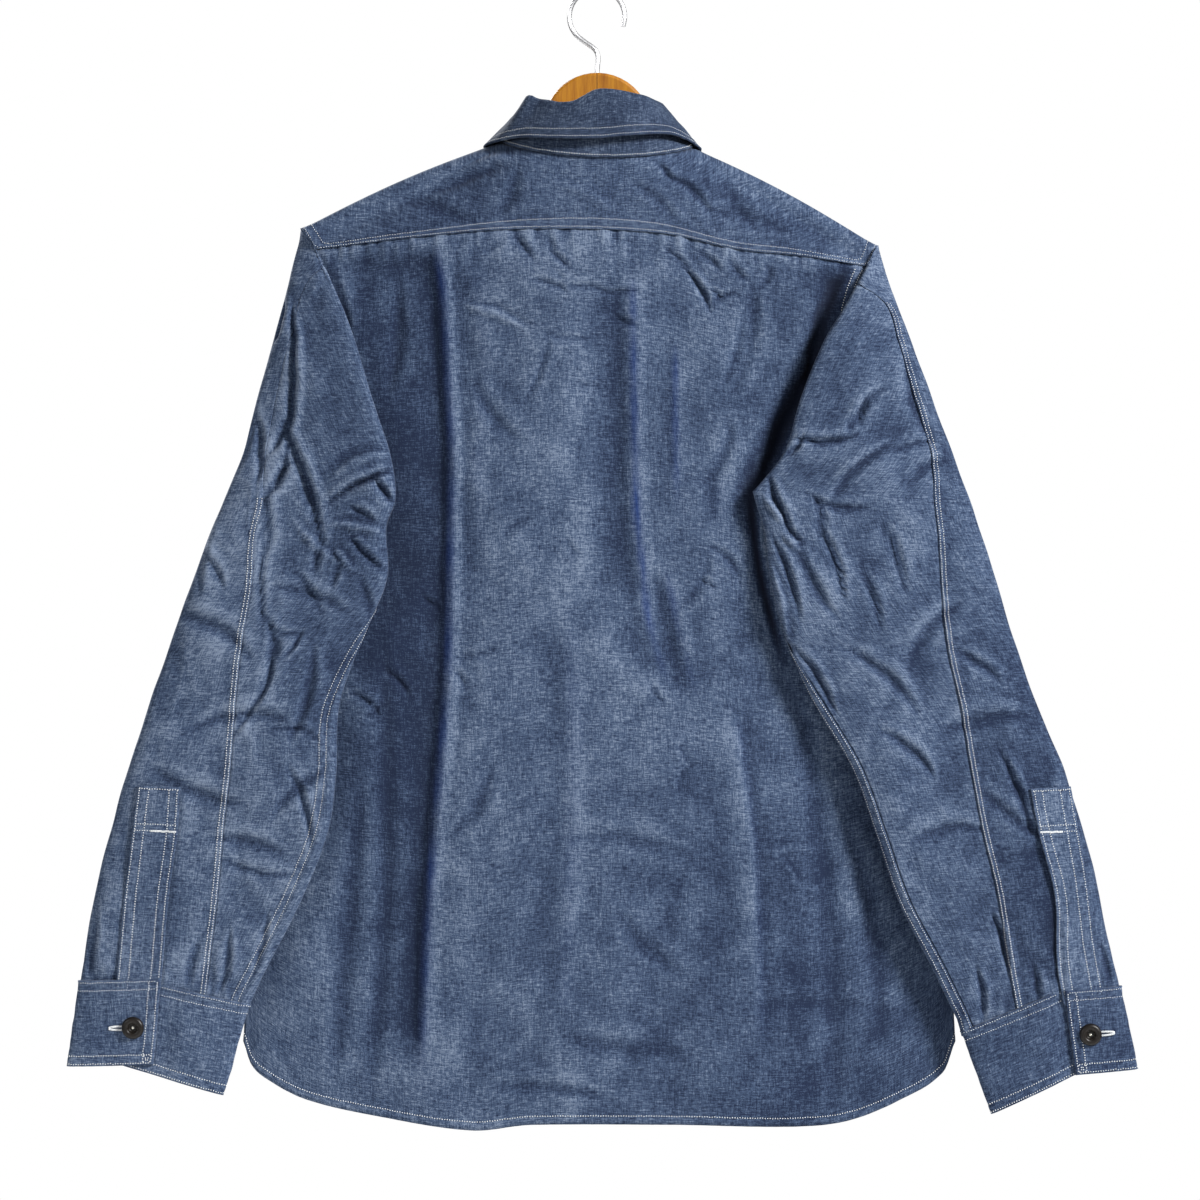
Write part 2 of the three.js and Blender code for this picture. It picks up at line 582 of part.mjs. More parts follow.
// The leaf's profile: up inside, over the roll and down outside. It falls further in front.
function leafPoint(share, along) {
  const turn = mix(-1, 1, share) * COLLAR.leafTurn;
  const front = smooth((abs(turn) - 0.5) / 0.46);
  const fall = mix(COLLAR.fall, COLLAR.pointFall, front ** 2);
  const roll = mix(COLLAR.roll, COLLAR.sideRoll, smooth(abs(turn) / 0.45));
  const { bend, flare } = COLLAR;
  const up = 0.25;
  const base = COLLAR.stand + 1.3 * SEAM_GAP;
  if (along < up) return collarRing(turn, base + (roll * along) / up, 0);
  const t = (along - up) / (1 - up);
  const over = clamp01(t / 0.2) * PI;
  const drop = max(0, t - 0.2) / 0.8;
  const out = bend * (1 - cos(over)) + flare * drop + COLLAR.frontLift * front * smooth(2 * drop);
  return collarRing(turn, base + roll + bend * sin(over) - drop * fall, out);
}

function addCollar() {
  add("collar_stand", wall(28, 1, standPoint, COLLAR_WALL), COLLAR_CHAMBRAY);
  add("collar_leaf", wall(26, 8, leafPoint, COLLAR_WALL), COLLAR_CHAMBRAY);
}

// ---- Cuffs ----
// The angles round a cuff of its overlap's free end and of the end that lies under it.
function cuffEnds(side, along) {
  const { top, hand } = CUFFS[side];
  const [outX, out, foldX, fold, open] = ["outX", "out", "foldX", "fold", "open"].map((key) =>
    mix(top[key], hand[key], along),
  );
  const width = hypot(foldX - outX, fold - out);
  const start = acos(2 * open - 1);
  const end = 2 * PI + acos(2 * (open - CUFF.underlap / width) - 1);
  return { outX, out, foldX, fold, start, end };
}

// A cuff is one band that starts at the overlap's free end, goes over the outer edge, round
// behind and back across the face, and ends under the overlap.
function cuffPoint(side, share, along) {
  const { outX, out, foldX, fold, start, end } = cuffEnds(side, along);
  const angle = mix(start, end, share);
  const tuck = smooth((angle - (2 * PI + start - 0.35)) / 0.3) * (LINED + GAP);
  const where = (1 + cos(angle)) / 2;
  const showing = sin(angle) > 0;
  const round = abs(sin(angle)) ** 0.6;
  const hollow = showing ? -(CUFF.puff - tuck) : CUFF.sink;
  const dip = showing ? 0 : CUFF.dip * along * round;
  return point(
    mix(outX, foldX, where),
    mix(CUFF.outY, CUFF.foldY, where) + hollow * round,
    mix(out, fold, where) + dip,
  );
}

function addSleeve(side) {
  const mirror = side === "left";
  const facing = (place) => (mirror ? place : (share, along) => place(1 - share, along));
  const top = facing((share, along) => topSleevePoint(side, share, along));
  const under = facing((share, along) => underSleevePoint(side, share, along));
  add("sleeve_top_" + side, wall(11, SLEEVE_ROWS, top, CLOTH), CHAMBRAY);
  add("sleeve_under_" + side, wall(9, SLEEVE_ROWS - TIP_ROW, under, CLOTH), CHAMBRAY);
  add("sleeve_placket_" + side, sleevePlacket(side), CHAMBRAY);
  add("cuff_" + side, wall(24, 2, (share, along) => cuffPoint(side, share, along), LINED), CHAMBRAY);
  addCuffButton(side);
}

// The placket strip, made from the sleeve's points moved out.
function sleevePlacket(side) {
  const p = PLACKETS[side];
  const strip = (share, along) => {
    const at = mix(p.start, LAST_ROW - 0.02, along);
    const from = acos(2 * mix(p.topOut, p.cuffOut, along) - 1);
    const to = acos(2 * mix(p.topIn, p.cuffIn, along) - 1);
    const angle = mix(from, to, share);
    const place = (a, b) => sleevePoint(side, b, a);
    const normal = normalOf(place, angle, at);
    if (normal.y > 0) normal.negate();
    return place(angle, at).addScaledVector(normal, LAP + 0.15);
  };
  return wall(4, 6, strip, CLOTH);
}

// ---- Buttons ----
// A donut button: a rounded ring with a sunken middle, turned about its axis.
function buttonGeometry() {
  const { radius, height, hole, rim } = BUTTON;
  const profile = new THREE.Path();
  profile.moveTo(0, 0);
  profile.lineTo(radius - rim, 0);
  profile.quadraticCurveTo(radius, 0, radius, height / 2);
  profile.quadraticCurveTo(radius, height, radius - 2 * rim, height);
  profile.quadraticCurveTo(hole + 0.6, height, hole, height / 2);
  profile.lineTo(0, height / 2);
  return new THREE.LatheGeometry(profile.getPoints(3), 16).rotateX(-PI / 2);
}

// Seats a button on a surface, its axis along the normal and its back just clear.
function seatButton(name, place, normal, clear) {
  const mesh = add(name, buttonGeometry(), DONUT);
  mesh.quaternion.setFromUnitVectors(new THREE.Vector3(0, 0, -1), normal);
  mesh.position.copy(place).addScaledVector(normal, clear);
}

function addCuffButton(side) {
  const { button } = CUFFS[side];
  const surface = (share, along) => cuffPoint(side, share, along);
  const { start, end } = cuffEnds(side, button.along);
  const share = (acos(2 * button.across - 1) - start) / (end - start);
  const normal = normalOf(surface, share, button.along);
  if (normal.y > 0) normal.negate();
  seatButton("cuff_button_" + side, surface(share, button.along), normal, LINED / 2 + GAP);
}

function addFrontButtons() {
  const stand = standPoint(0.5 - 0.5 / (1 + COLLAR.overlap), 0.5);
  seatButton("front_button_1", stand, new THREE.Vector3(0, 1, 0), COLLAR_WALL / 2 + GAP + 0.2);
  for (let i = 1; i < FRONT_BUTTONS; i++) {
    const along = mix(0.08, 0.86, (i - 1) / (FRONT_BUTTONS - 2));
    const normal = normalOf(placketPoint, 0.5, along);
    if (normal.y < 0) normal.negate();
    seatButton("front_button_" + (i + 1), placketPoint(0.5, along), normal, CLOTH / 2 + GAP + 0.2);
  }
}

// ---- Hanger ----
const wasm = await Module();
wasm.setup();

function solidOf(geometry) {
  geometry.deleteAttribute("normal");
  geometry.deleteAttribute("uv");
  const merged = mergeVertices(geometry, 1e-3);
  return new wasm.Manifold(
    new wasm.Mesh({
      numProp: 3,
      vertProperties: merged.getAttribute("position").array,
      triVerts: new Uint32Array(merged.index.array),
    }),
  );
}

function geometryOf(solid) {
  const mesh = solid.getMesh();
  return new THREE.BufferGeometry()
    .setAttribute("position", new THREE.BufferAttribute(mesh.vertProperties, 3))
    .setIndex(new THREE.BufferAttribute(mesh.triVerts, 1));
}

// The wooden body: a round head on two sloping arms, cut from board with its edges rounded,
// and bored for the hook. Its own origin is the head's middle.
function hangerWood() {
  const { headRadius, neckHalf, armReach, armRise, armHeight, tipHeight, thickness, bevel } = HANGER;
  const slope = Math.tan(radians(armRise));
  const neck = -HANGER.neckDown;
  const tip = neck + 1.7 - (armReach - neckHalf) * slope;
  const headFoot = headRadius * sin(radians(28)) - 14;
  const headSide = headRadius * cos(radians(28));
  const outline = new THREE.Shape();
  outline.moveTo(armReach, tip);
  outline.bezierCurveTo(
    armReach - 40, tip + 40 * slope + 3,
    neckHalf + 50, neck - 10.4,
    neckHalf + 12, neck + 0.5,
  );
  outline.quadraticCurveTo(neckHalf + 3, neck + 4, headSide, headFoot);
  outline.absarc(0, 0, headRadius, radians(8), radians(172), false);
  outline.lineTo(-headSide, headFoot);
  outline.quadraticCurveTo(-neckHalf - 3, neck + 4, -neckHalf - 12, neck + 0.5);
  outline.bezierCurveTo(
    -neckHalf - 50, neck - 10.4,
    -armReach + 40, tip + 40 * slope + 3,
    -armReach, tip,
  );
  outline.quadraticCurveTo(-armReach - 8, tip - tipHeight / 2, -armReach + 6, tip - tipHeight);
  outline.bezierCurveTo(
    -armReach + 60, tip - tipHeight + 20,
    -50, neck - armHeight - 20,
    0, neck - armHeight,
  );
  outline.bezierCurveTo(
    50, neck - armHeight - 20,
    armReach - 60, tip - tipHeight + 20,
    armReach - 6, tip - tipHeight,
  );
  outline.quadraticCurveTo(armReach + 8, tip - tipHeight / 2, armReach, tip);
  const board = new THREE.ExtrudeGeometry(outline, {
    depth: thickness - 2 * bevel,
    bevelThickness: bevel,
    bevelSize: bevel,
    bevelOffset: -bevel,
    bevelSegments: 2,
    curveSegments: 10,
  });
  board.translate(0, 0, bevel - thickness / 2).rotateX(PI / 2);
  const boreRadius = HOOK.wire + HOOK.clearance;
  const boreLength = HOOK.screw + 20; // past the top of the head, so that the bore is open
  const bore = new THREE.CylinderGeometry(boreRadius, boreRadius, boreLength, 20);
  bore.rotateX(PI / 2).translate(0, 0, headRadius - HOOK.screw + boreLength / 2);
  bore.rotateY(-radians(HANGER.tiltDegrees)); // the hook hangs straight while the board tilts
  return geometryOf(solidOf(board).subtract(solidOf(bore)));
}

// The wire hook: up out of the wood, round and over, to a tip that turns down.
function hangerHook() {
  const { wire, radius, screw, endDegrees } = HOOK;
  const middle = wire - radius; // height of the round part's middle, with the inside top at 0
  const at = (degrees) =>
    new THREE.Vector3(radius * sin(radians(degrees)), 0, middle + radius * cos(radians(degrees)));
  const foot = -(HANGER.headDown - HANGER.headRadius) - screw + 1;
  const arcStart = -150;
  const points = [new THREE.Vector3(0, 0, foot), new THREE.Vector3(0, 0, (foot + middle - radius) / 2)];
  points.push(new THREE.Vector3(0, 0, middle - radius - 6));
  for (let degrees = arcStart; degrees <= endDegrees - 90; degrees += 20) points.push(at(degrees));
  const route = new THREE.CatmullRomCurve3(points, false, "centripetal");
  const section = new THREE.Shape().absarc(0, 0, wire, 0, 2 * PI, false);
  return new THREE.ExtrudeGeometry(section, {
    extrudePath: route,
    steps: 48,
    curveSegments: 5,
    bevelEnabled: false,
  });
}

function addHanger() {
  const board = add("hanger_wood", hangerWood(), WOOD);
  board.position.z = -HANGER.headDown;
  board.rotation.y = radians(HANGER.tiltDegrees);
  add("hanger_hook", hangerHook(), STEEL);
}

addBody();
addCollar();
addSleeve("left");
addSleeve("right");
addFrontButtons();
addHanger();

export default shirt;
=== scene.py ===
"""A long-sleeved chambray work shirt hung on a wooden hanger.

The cloth is built from the same sizes as the CAD part, in its frame and in millimetres: +Z is up,
the origin is the inside top of the hook, the shirt's back faces -Y, and "down" is the distance
below the hook. Each piece of cloth is a thin closed shell on the form of its solid, with its
creases, seams and puckers pushed in or out of it. Stitches are short lengths of thread.
"""

import bpy
import numpy as np
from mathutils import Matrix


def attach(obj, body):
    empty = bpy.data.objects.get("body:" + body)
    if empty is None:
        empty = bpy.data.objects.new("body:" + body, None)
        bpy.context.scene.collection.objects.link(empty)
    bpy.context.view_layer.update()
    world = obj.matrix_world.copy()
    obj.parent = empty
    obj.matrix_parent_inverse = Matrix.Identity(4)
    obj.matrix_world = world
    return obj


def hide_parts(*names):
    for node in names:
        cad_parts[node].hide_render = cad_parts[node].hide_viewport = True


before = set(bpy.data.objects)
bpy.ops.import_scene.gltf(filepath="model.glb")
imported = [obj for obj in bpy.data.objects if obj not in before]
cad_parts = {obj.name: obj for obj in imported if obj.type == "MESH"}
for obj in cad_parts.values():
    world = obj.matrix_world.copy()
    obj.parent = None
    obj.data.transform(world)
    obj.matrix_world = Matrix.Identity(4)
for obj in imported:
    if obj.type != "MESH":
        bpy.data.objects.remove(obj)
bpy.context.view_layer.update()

MM = 0.001
PI = np.pi
SIDES = ("left", "right")


# ---- Curves and tables ----
def mix(a, b, t):
    return a + (b - a) * t


def smooth(t):
    t = np.clip(t, 0, 1)
    return t * t * (3 - 2 * t)


def bell(t):
    return np.exp(-(t**2))


def unit(v):
    return v / np.maximum(np.linalg.norm(v, axis=-1, keepdims=True), 1e-9)


def table(text):
    """The rows of a written table, each by the names in the table's first line."""
    names, *rows = (line.split() for line in text.strip().splitlines())
    return [dict(zip(names, map(float, row))) for row in rows]


class Curve:
    """A smooth curve through a short table's points."""

    def __init__(self, at, value):
        self.at, self.value = np.array(at, float), np.array(value, float)
        last = len(at) - 1
        before = np.maximum(np.arange(last + 1) - 1, 0)
        after = np.minimum(np.arange(last + 1) + 1, last)
        self.slope = (self.value[after] - self.value[before]) / (self.at[after] - self.at[before])

    def __call__(self, x):
        i = np.clip(np.searchsorted(self.at, x) - 1, 0, len(self.at) - 2)
        step = self.at[i + 1] - self.at[i]
        t = np.clip((x - self.at[i]) / step, 0, 1)
        s = 1 - t
        start = (1 + 2 * t) * s**2 * self.value[i] + t * s**2 * step * self.slope[i]
        end = t * t * (3 - 2 * t) * self.value[i + 1] - t * t * s * step * self.slope[i + 1]
        return start + end


# ---- Sizes shared with the CAD part ----
CLOTH = 0.6  # thickness of the shell of a single layer
LINED = 1.9  # of a cuff
COLLAR_CLOTH = 1.4
LAP = 1.55  # how far a sleeve's top stands off the body's edge that it covers
SIDE_SPREAD = 0.85  # half the body's depth at its side seams
LENS = 0.9  # the exponent of the body's section where its sides are closed
OPEN_EDGE = 10  # half the depth of an armhole
RIDGE_DROP = 16  # how far below the shoulder's ridge an armhole has that depth
UNDERARM_DROP = 30  # and over how far it closes again
UNDERARM_DOWN = 400
HEM_LEVEL = 830  # where the body's width is read for its hem
FRONT_RISE = 4  # how much higher the hem is in front
NECK = dict(half_width=71, half_depth=28, side_down=116, back_dip=13, front_dip=76, tilt=0.03)
YOKE = dict(back_turn=0.4, front_turn=0.66, front_drop=35, crown=4)
COLLAR = dict(
    stand=33, roll=12, side_roll=5, fall=29, point_fall=66, bend=2.6, flare=3, front_lift=3,
    lean_left=38, lean_right=41, overlap=0.03, leaf_turn=0.955, gap=0.78,
)
FRONT_PLACKET = 34
PLACKET_LIFT = 3.5  # how far the placket stands off the fronts
SHOULDER_DOWN = {"left": 180, "right": 193}

ARMHOLE_DOWN = [180, 197, 236, 280, 330, 370, 400]
ARMHOLE = {
    "left": Curve(ARMHOLE_DOWN, [-222, -212, -199, -196, -203, -221, -243]),
    "right": Curve(ARMHOLE_DOWN, [214, 209, 193.5, 190, 199, 218, 240]),
}
SIDE_DOWN = [400, 520, 660, 800, 870]
SIDE = {
    "left": Curve(SIDE_DOWN, [-243, -250, -258, -268, -268]),
    "right": Curve(SIDE_DOWN, [240, 250, 262, 271.5, 271.5]),
}
DEPTH_DOWN = [110, 190, 300, 420, 620, 800, 870]
DEPTH = {
    -1: Curve(DEPTH_DOWN, [28, 26, 23, 24, 25, 22, 20]),
    1: Curve(DEPTH_DOWN, [28, 27, 25, 24, 25, 23, 21]),
}
YOKE_SEAM = Curve([-212, -140, -58, 47, 107, 152, 207], [196, 188, 182, 185, 197, 201, 209])
HEM = Curve(
    [-268, -262, -250, -220, -165, -94, -50, 60, 150, 190, 230, 262, 271.5],
    [795, 812, 823, 838, 850, 860, 855.5, 855.5, 857.5, 853.5, 838, 818, 795],
)

# A row for each section of a sleeve, from the shoulder to the cuff: where it meets the armhole
# (arm), its outer edge (out) and the one folded over the back (fold), how far it swells to the
# back (puff) and front (sink), and the angles of its two seams round it, in degrees.
SLEEVE_TABLES = {
    "left": table("""
        arm  out_x out_down fold_x fold_down out_y fold_y puff sink back_seam under_seam
        181 -224.6      179 -223.6     180.5     0     -7    1    1         0         -5
        197   -227      198   -212       197    -3    -12    3    2         0        -10
        225   -233      224   -199       224    -6    -20    6    3       105        -35
        262 -243.5      264   -182       266    -9    -24    8    3       127        -55
        305   -256      308   -168       312   -11    -26    9    3       134        -70
        348   -267      352   -155       352   -13    -27   10    3       134        -85
        384   -282      388   -151       384   -15    -27   10    3       122       -103
        400   -292      413   -158       408   -16    -27   10    3       118       -106
        400   -305      450 -157.5       446   -17    -28   10    4       112        -50
        400   -321      495   -176       490   -17    -28   10    6       104          2
        400   -337      541   -193       540   -17    -28   10  6.5        95         23
        400   -352      586 -195.5       592   -17    -28   10  6.5        91         25
        400   -365      631   -202       636   -16    -27    9  6.5        88         26
        400   -376      675   -221       684   -16    -25    8    6        80         27
        400 -383.5      714   -243       728   -15    -22    7  5.5        71         28
        400 -389.5      749 -262.5       766   -15    -19    6    5        61         30
    """),
    "right": table("""
        arm out_x out_down fold_x fold_down out_y fold_y puff sink back_seam under_seam
        194 213.4      192  212.6     193.5     0     -7    1    1         0         -5
        212 217.5      215    203       212    -3    -12    3    2         0        -10
        236 225.5      238    188       238    -6    -20    6    3       118        -35
        268   237      267    170       268    -9    -25    8    3       134        -55
        308   252      307  153.5       308   -11    -27    9    3       138        -72
        350   267    348.5    141       349   -13    -29   10    3       139        -88
        384   280      386    121       381   -15    -29   10    3       132       -100
        400   289      412    126       411   -16    -29   10    3       127       -104
        400 301.5      451    131       452   -17    -29   10    4       120        -50
        400   315      496    145       498   -17    -29   10    6       113          2
        400 331.5      542    168       547   -17    -28   10  6.5       107         21
        400   350      586    192       588   -17    -28   10  6.5        97         22
        400   364      630    210       638   -16    -27    9  6.5        92         23
        400   376      675    226       686   -16    -25    8    6        90         25
        400 384.5      717    251       736   -15    -22    7  5.5        82         28
        400   394      753    275       786   -15    -19    6    5        73         30
    """),
}
LAST = len(SLEEVE_TABLES["left"]) - 1
SLEEVES = {
    side: {name: Curve(range(LAST + 1), [row[name] for row in rows]) for name in rows[0]}
    for side, rows in SLEEVE_TABLES.items()
}
UNDERARM_SECTION = 7
TUCK = 0.3  # the share of a section over which the tube closes below the underarm
TIP_SECTION = 7 / 6  # where the under sleeve's point begins
TIP_ANGLE = 0.1
SHOULDER_LAP = 0.6  # how far a sleeve's top is above and outside the shoulder's tip
SHOULDER_OUT = 2
UNDERARM_LAP = LAP + 2.2
BEHIND_BODY = LAP + 1.5  # how much larger the body is taken to be where a sleeve lies behind it
CLEAR = dict(least=1.2, further=3.2, begins=4, over=7, lead=1.4)  # and how clear of that it stays
ROUND = 0.6  # the exponent of the sleeves' and cuffs' sections

ELBOW = dict(down=380, reach=7, out=4.5)  # the point that the right sleeve is creased to
# Sleeve plackets: the section each starts at, and its two edges as shares of the sleeve's width.
PLACKETS = {
    "left": dict(start=11.3, top_out=0.08, top_in=0.28, cuff_out=0.225, cuff_in=0.485, pinch=0.012),
    "right": dict(start=11.35, top_out=0.01, top_in=0.2, cuff_out=0.115, cuff_in=0.37, pinch=0.05),
}
# Cuffs: their edges and their slit, at the sleeve and at the hand.
CUFFS = {
    "left": dict(
        out_x=(-389.5, -398.3), out_down=(749.6, 812),
        fold_x=(-262.5, -281.3), fold_down=(766.6, 833),
        slit=(0.49, 0.56), button=(0.38, 0.545), flap_lift=(11, 14), under_lift=6,
    ),
    "right": dict(
        out_x=(394, 406.5), out_down=(753.6, 814), fold_x=(275, 297), fold_down=(786.6, 847),
        slit=(0.365, 0.43), button=(0.265, 0.52), flap_lift=(9.5, 10.5), under_lift=10.5,
    ),
}
CUFF = dict(out_y=-15, fold_y=-19, puff=6.5, sink=5.5, underlap=26, rise=1, proud=2.4)


def side_sign(side):
    return -1 if side == "left" else 1


def place(x, y, down):
    """Points in the frame, in millimetres."""
    return np.stack(np.broadcast_arrays(x, y, -np.asarray(down, float)), -1).astype(float)


# ---- The body's surface ----
def body_edge(side, down):
    return np.where(down < UNDERARM_DOWN, ARMHOLE[side](down), SIDE[side](down))


def armhole_gap(side, down):
    """Half the depth of the armhole, which is rounded at the shoulder and closed below the arm."""
    over = (1 - (1 - np.clip((down - SHOULDER_DOWN[side]) / RIDGE_DROP, 0, 1)) ** 4) ** 0.25
    under = 1 - (1 - np.clip((UNDERARM_DOWN - down) / UNDERARM_DROP, 0, 1)) ** 2
    return OPEN_EDGE * over * np.sqrt(under)


def body_y(face, x, down, out=0):
    """How far forward a face of the body is: -1 is its back and 1 its front."""
    left = body_edge("left", down) - out
    right = body_edge("right", down) + out
    across = (2 * x - left - right) / (right - left)
    gap = np.where(x < 0, armhole_gap("left", down), armhole_gap("right", down))
    edge = np.maximum(gap, SIDE_SPREAD)
    depth = DEPTH[face](down) + out
    rounded = np.maximum(0, 1 - across**2) ** mix(LENS, 1, gap / OPEN_EDGE)
    return face * (edge + (depth - edge) * rounded)


def neck_point(turn):
    """The neck's line: turn is 0 at the middle of the back and 1 at the middle of the front."""
    facing = np.cos(PI * turn)
    x = NECK["half_width"] * np.sin(PI * turn)
    dip = np.where(facing > 0, NECK["back_dip"], NECK["front_dip"])
    down = NECK["side_down"] + dip * np.abs(facing) ** 1.3 + NECK["tilt"] * x
    return place(x, -NECK["half_depth"] * facing, down)


def neck_turn(x):
    return 1 - np.arcsin(x / NECK["half_width"]) / PI


def yoke_edge(turn):
    """The yoke's outer edge: along the back's seam, over the shoulders' ends, to the fronts."""
    reach = np.abs(turn)
    corners = [body_edge(side, SHOULDER_DOWN[side] + RIDGE_DROP) for side in SIDES]
    x = mix(*corners, (turn / YOKE["back_turn"] + 1) / 2)
    down = YOKE_SEAM(x)
    edge = place(x, body_y(-1, x, down), down)
    behind = reach < 0.5
    face = np.where(behind, -1, 1)
    t = np.abs(reach - 0.5) / np.where(behind, 0.5 - YOKE["back_turn"], YOKE["front_turn"] - 0.5)
    angle = np.minimum(1, t * np.where(behind, 1, 2)) * PI / 2
    further = np.maximum(0, 2 * t - 1) * (YOKE["front_drop"] - RIDGE_DROP)
    drop = RIDGE_DROP * (1 - np.sqrt(np.maximum(np.cos(angle), 0))) + np.where(behind, 0, further)
    for side in SIDES:
        down = SHOULDER_DOWN[side] + drop
        y = face * OPEN_EDGE * np.sqrt(np.sin(angle))
        here = (reach > YOKE["back_turn"]) & (np.sign(turn) == side_sign(side))
        edge = np.where(here[..., None], place(body_edge(side, down), y, down), edge)
    return edge


def yoke_turn(share):
    """Half of the yoke's columns are on its back edge and a quarter on each shoulder."""
    reach = np.abs(2 * share - 1)
    back, front = YOKE["back_turn"], YOKE["front_turn"]
    behind, before = mix(back, 0.5, (reach - 0.5) * 4), mix(0.5, front, (reach - 0.75) * 4)
    turn = np.where(reach < 0.75, behind, before)
    return np.where(reach < 0.5, reach * 2 * back, turn) * np.sign(2 * share - 1)


def yoke_point(turn, out):
    """Between the neck's line and the yoke's edge, a little crowned along the shoulders."""
    points = mix(neck_point(turn), yoke_edge(turn), out[..., None])
    ridge = smooth(1 - np.abs(np.abs(turn) - 0.5) / 0.16)
    points[..., 2] += YOKE["crown"] * ridge * np.sin(PI * np.clip(out, 0, 1))
    return points


def back_point(across, along, above):
    """across and along run from 0 to 1; the top goes above the seam, under the yoke."""
    share = np.arccos(1 - 2 * across) / PI
    seam = yoke_edge(YOKE["back_turn"] * (2 * across - 1))
    hem_x = mix(body_edge("left", HEM_LEVEL), body_edge("right", HEM_LEVEL), across)
    down = mix(-seam[..., 2] - above, HEM(hem_x), along)
    x = mix(body_edge("left", down), body_edge("right", down), across)
    y = body_y(-1, x, down)
    lead = (1 - smooth(along / 0.12)) * (1 - np.abs(2 * share - 1) ** 4)
    return place(mix(x, seam[..., 0], lead), mix(y, seam[..., 1], lead), down)


FRONT_LEAD = 0.16  # the share of a front's length over which it leaves the form of its top edge
YOKE_SHARE = 2 / 3  # the share of a front's top that is on the yoke, the rest being on the neck


def front_top(side, share, end_x):
    s = side_sign(side)
    out = 1 - np.clip(share / YOKE_SHARE, 0, 1)
    on_yoke = yoke_point(s * YOKE["front_turn"] + 0 * share, out)
    t = (share - YOKE_SHARE) / (1 - YOKE_SHARE)
    on_neck = neck_point(s * mix(YOKE["front_turn"], neck_turn(s * end_x), t))
    return np.where((share < YOKE_SHARE)[..., None], on_yoke, on_neck)


def front_point(side, share, along, end_x, lift, above):
    """share runs from the side seam to the front edge, at end_x."""
    top = front_top(side, share, end_x)
    inwards = 1 - np.cos(PI / 2 * share)
    hem_x = mix(body_edge(side, HEM_LEVEL), end_x, inwards)
    down = mix(-top[..., 2] - above, HEM(hem_x) - FRONT_RISE, along)
    x = mix(body_edge(side, down), end_x, inwards)
    lead = (1 - smooth(along / FRONT_LEAD)) * smooth(share / 0.1)
    y = mix(body_y(1, x, down), top[..., 1], lead) + lift * smooth((share - 0.6) / 0.3)
    return place(mix(x, top[..., 0], lead), y, down)


def placket_point(share, along):
    x = mix(-FRONT_PLACKET / 2, FRONT_PLACKET / 2, share)
    top = neck_point(neck_turn(x))
    down = mix(-top[..., 2], HEM(x) - FRONT_RISE, along)
    lead = 1 - smooth(along / FRONT_LEAD)
    return place(x, mix(body_y(1, x, down), top[..., 1], lead) + PLACKET_LIFT, down)


# ---- The sleeves' surface ----
def sleeve_seam(side, face, down):
    """The line where a sleeve is sewn to the body, on its back or front."""
    gap = np.maximum(armhole_gap(side, down), SIDE_SPREAD)
    points = place(body_edge(side, down), face * gap, down)
    left = 1 - np.clip((down - SHOULDER_DOWN[side]) / RIDGE_DROP, 0, 1)
    tilt = np.arctan2(left**3 / RIDGE_DROP, (1 - left**4) ** 0.75 / OPEN_EDGE)
    under = smooth(1 - (UNDERARM_DOWN - down) / UNDERARM_DROP) * PI / 2
    outwards = UNDERARM_LAP * np.sin(under) + SHOULDER_OUT * np.sin(tilt)
    points[..., 2] += SHOULDER_LAP * np.sin(tilt)
    points[..., 0] += side_sign(side) * outwards
    points[..., 1] += LAP * face * np.cos(tilt) * np.maximum(np.cos(under), 0.35)
    return points


def sleeve_ring(row, angle):
    """A section of the sleeve as it hangs, between its two edges."""
    share = (1 + np.cos(angle)) / 2
    showing = (np.mod(angle, 2 * PI) > 0) & (np.sin(angle) > 0)
    hollow = np.where(showing, -row["puff"], row["sink"]) * np.abs(np.sin(angle)) ** ROUND
    return place(
        mix(row["out_x"], row["fold_x"], share),
        mix(row["out_y"], row["fold_y"], share) + hollow,
        mix(row["out_down"], row["fold_down"], share),
    )


def sleeve_point(side, at, angle):
    """A point of the sleeve: at is the section, angle the way round it from the fold."""
    at, angle = np.broadcast_arrays(at, angle)
    row = {name: curve(at) for name, curve in SLEEVES[side].items()}
    points = sleeve_ring(row, angle)
    # Down to the underarm both ends of a section are drawn to the armhole.
    seam = np.radians(row["under_seam"])
    hold = 1 - smooth((at - UNDERARM_SECTION) / TUCK)
    sideways = 1 - smooth((at - UNDERARM_SECTION) / (4 * TUCK))
    arm = np.minimum(row["arm"], UNDERARM_DOWN)
    behind = sleeve_seam(side, -1, arm) - sleeve_ring(row, seam)
    before = sleeve_seam(side, 1, arm) - sleeve_ring(row, seam + 2 * PI)
    early = np.clip(1 + seam / 0.9, 0, 1)
    to_seam = mix(smooth(angle / np.minimum(seam, -0.01)) ** 2, 1, early)
    pull = np.where(angle <= 0, to_seam, early * (1 - smooth(angle / 1.4)))
    wrap = np.where(angle > PI, smooth((angle - PI) / (seam + PI)), 0)
    points[..., 0] += (behind[..., 0] * pull + before[..., 0] * wrap) * (sideways - hold)
    points += behind * (pull * hold)[..., None] + before * (wrap * hold)[..., None]
    # What lies behind the body stays clear of it.
    hidden = (angle <= 0) | ((angle > PI) & (at > UNDERARM_SECTION))
    down = -points[..., 2]
    past = side_sign(side) * body_edge(side, down) - np.abs(points[..., 0])
    clear = CLEAR["least"] + CLEAR["further"] * smooth((past + CLEAR["begins"]) / CLEAR["over"])
    limit = body_y(-1, points[..., 0], down, BEHIND_BODY) - clear
    inside = np.where(hidden, smooth((past + UNDERARM_LAP - 0.1) / CLEAR["lead"]), 0)
    points[..., 1] = mix(points[..., 1], np.minimum(points[..., 1], limit), inside)
    if side == "right":
        near = np.exp(-np.abs(down - ELBOW["down"]) / ELBOW["reach"])
        points[..., 0] -= ELBOW["out"] * near * np.maximum(np.cos(angle), 0) ** 6
    return points


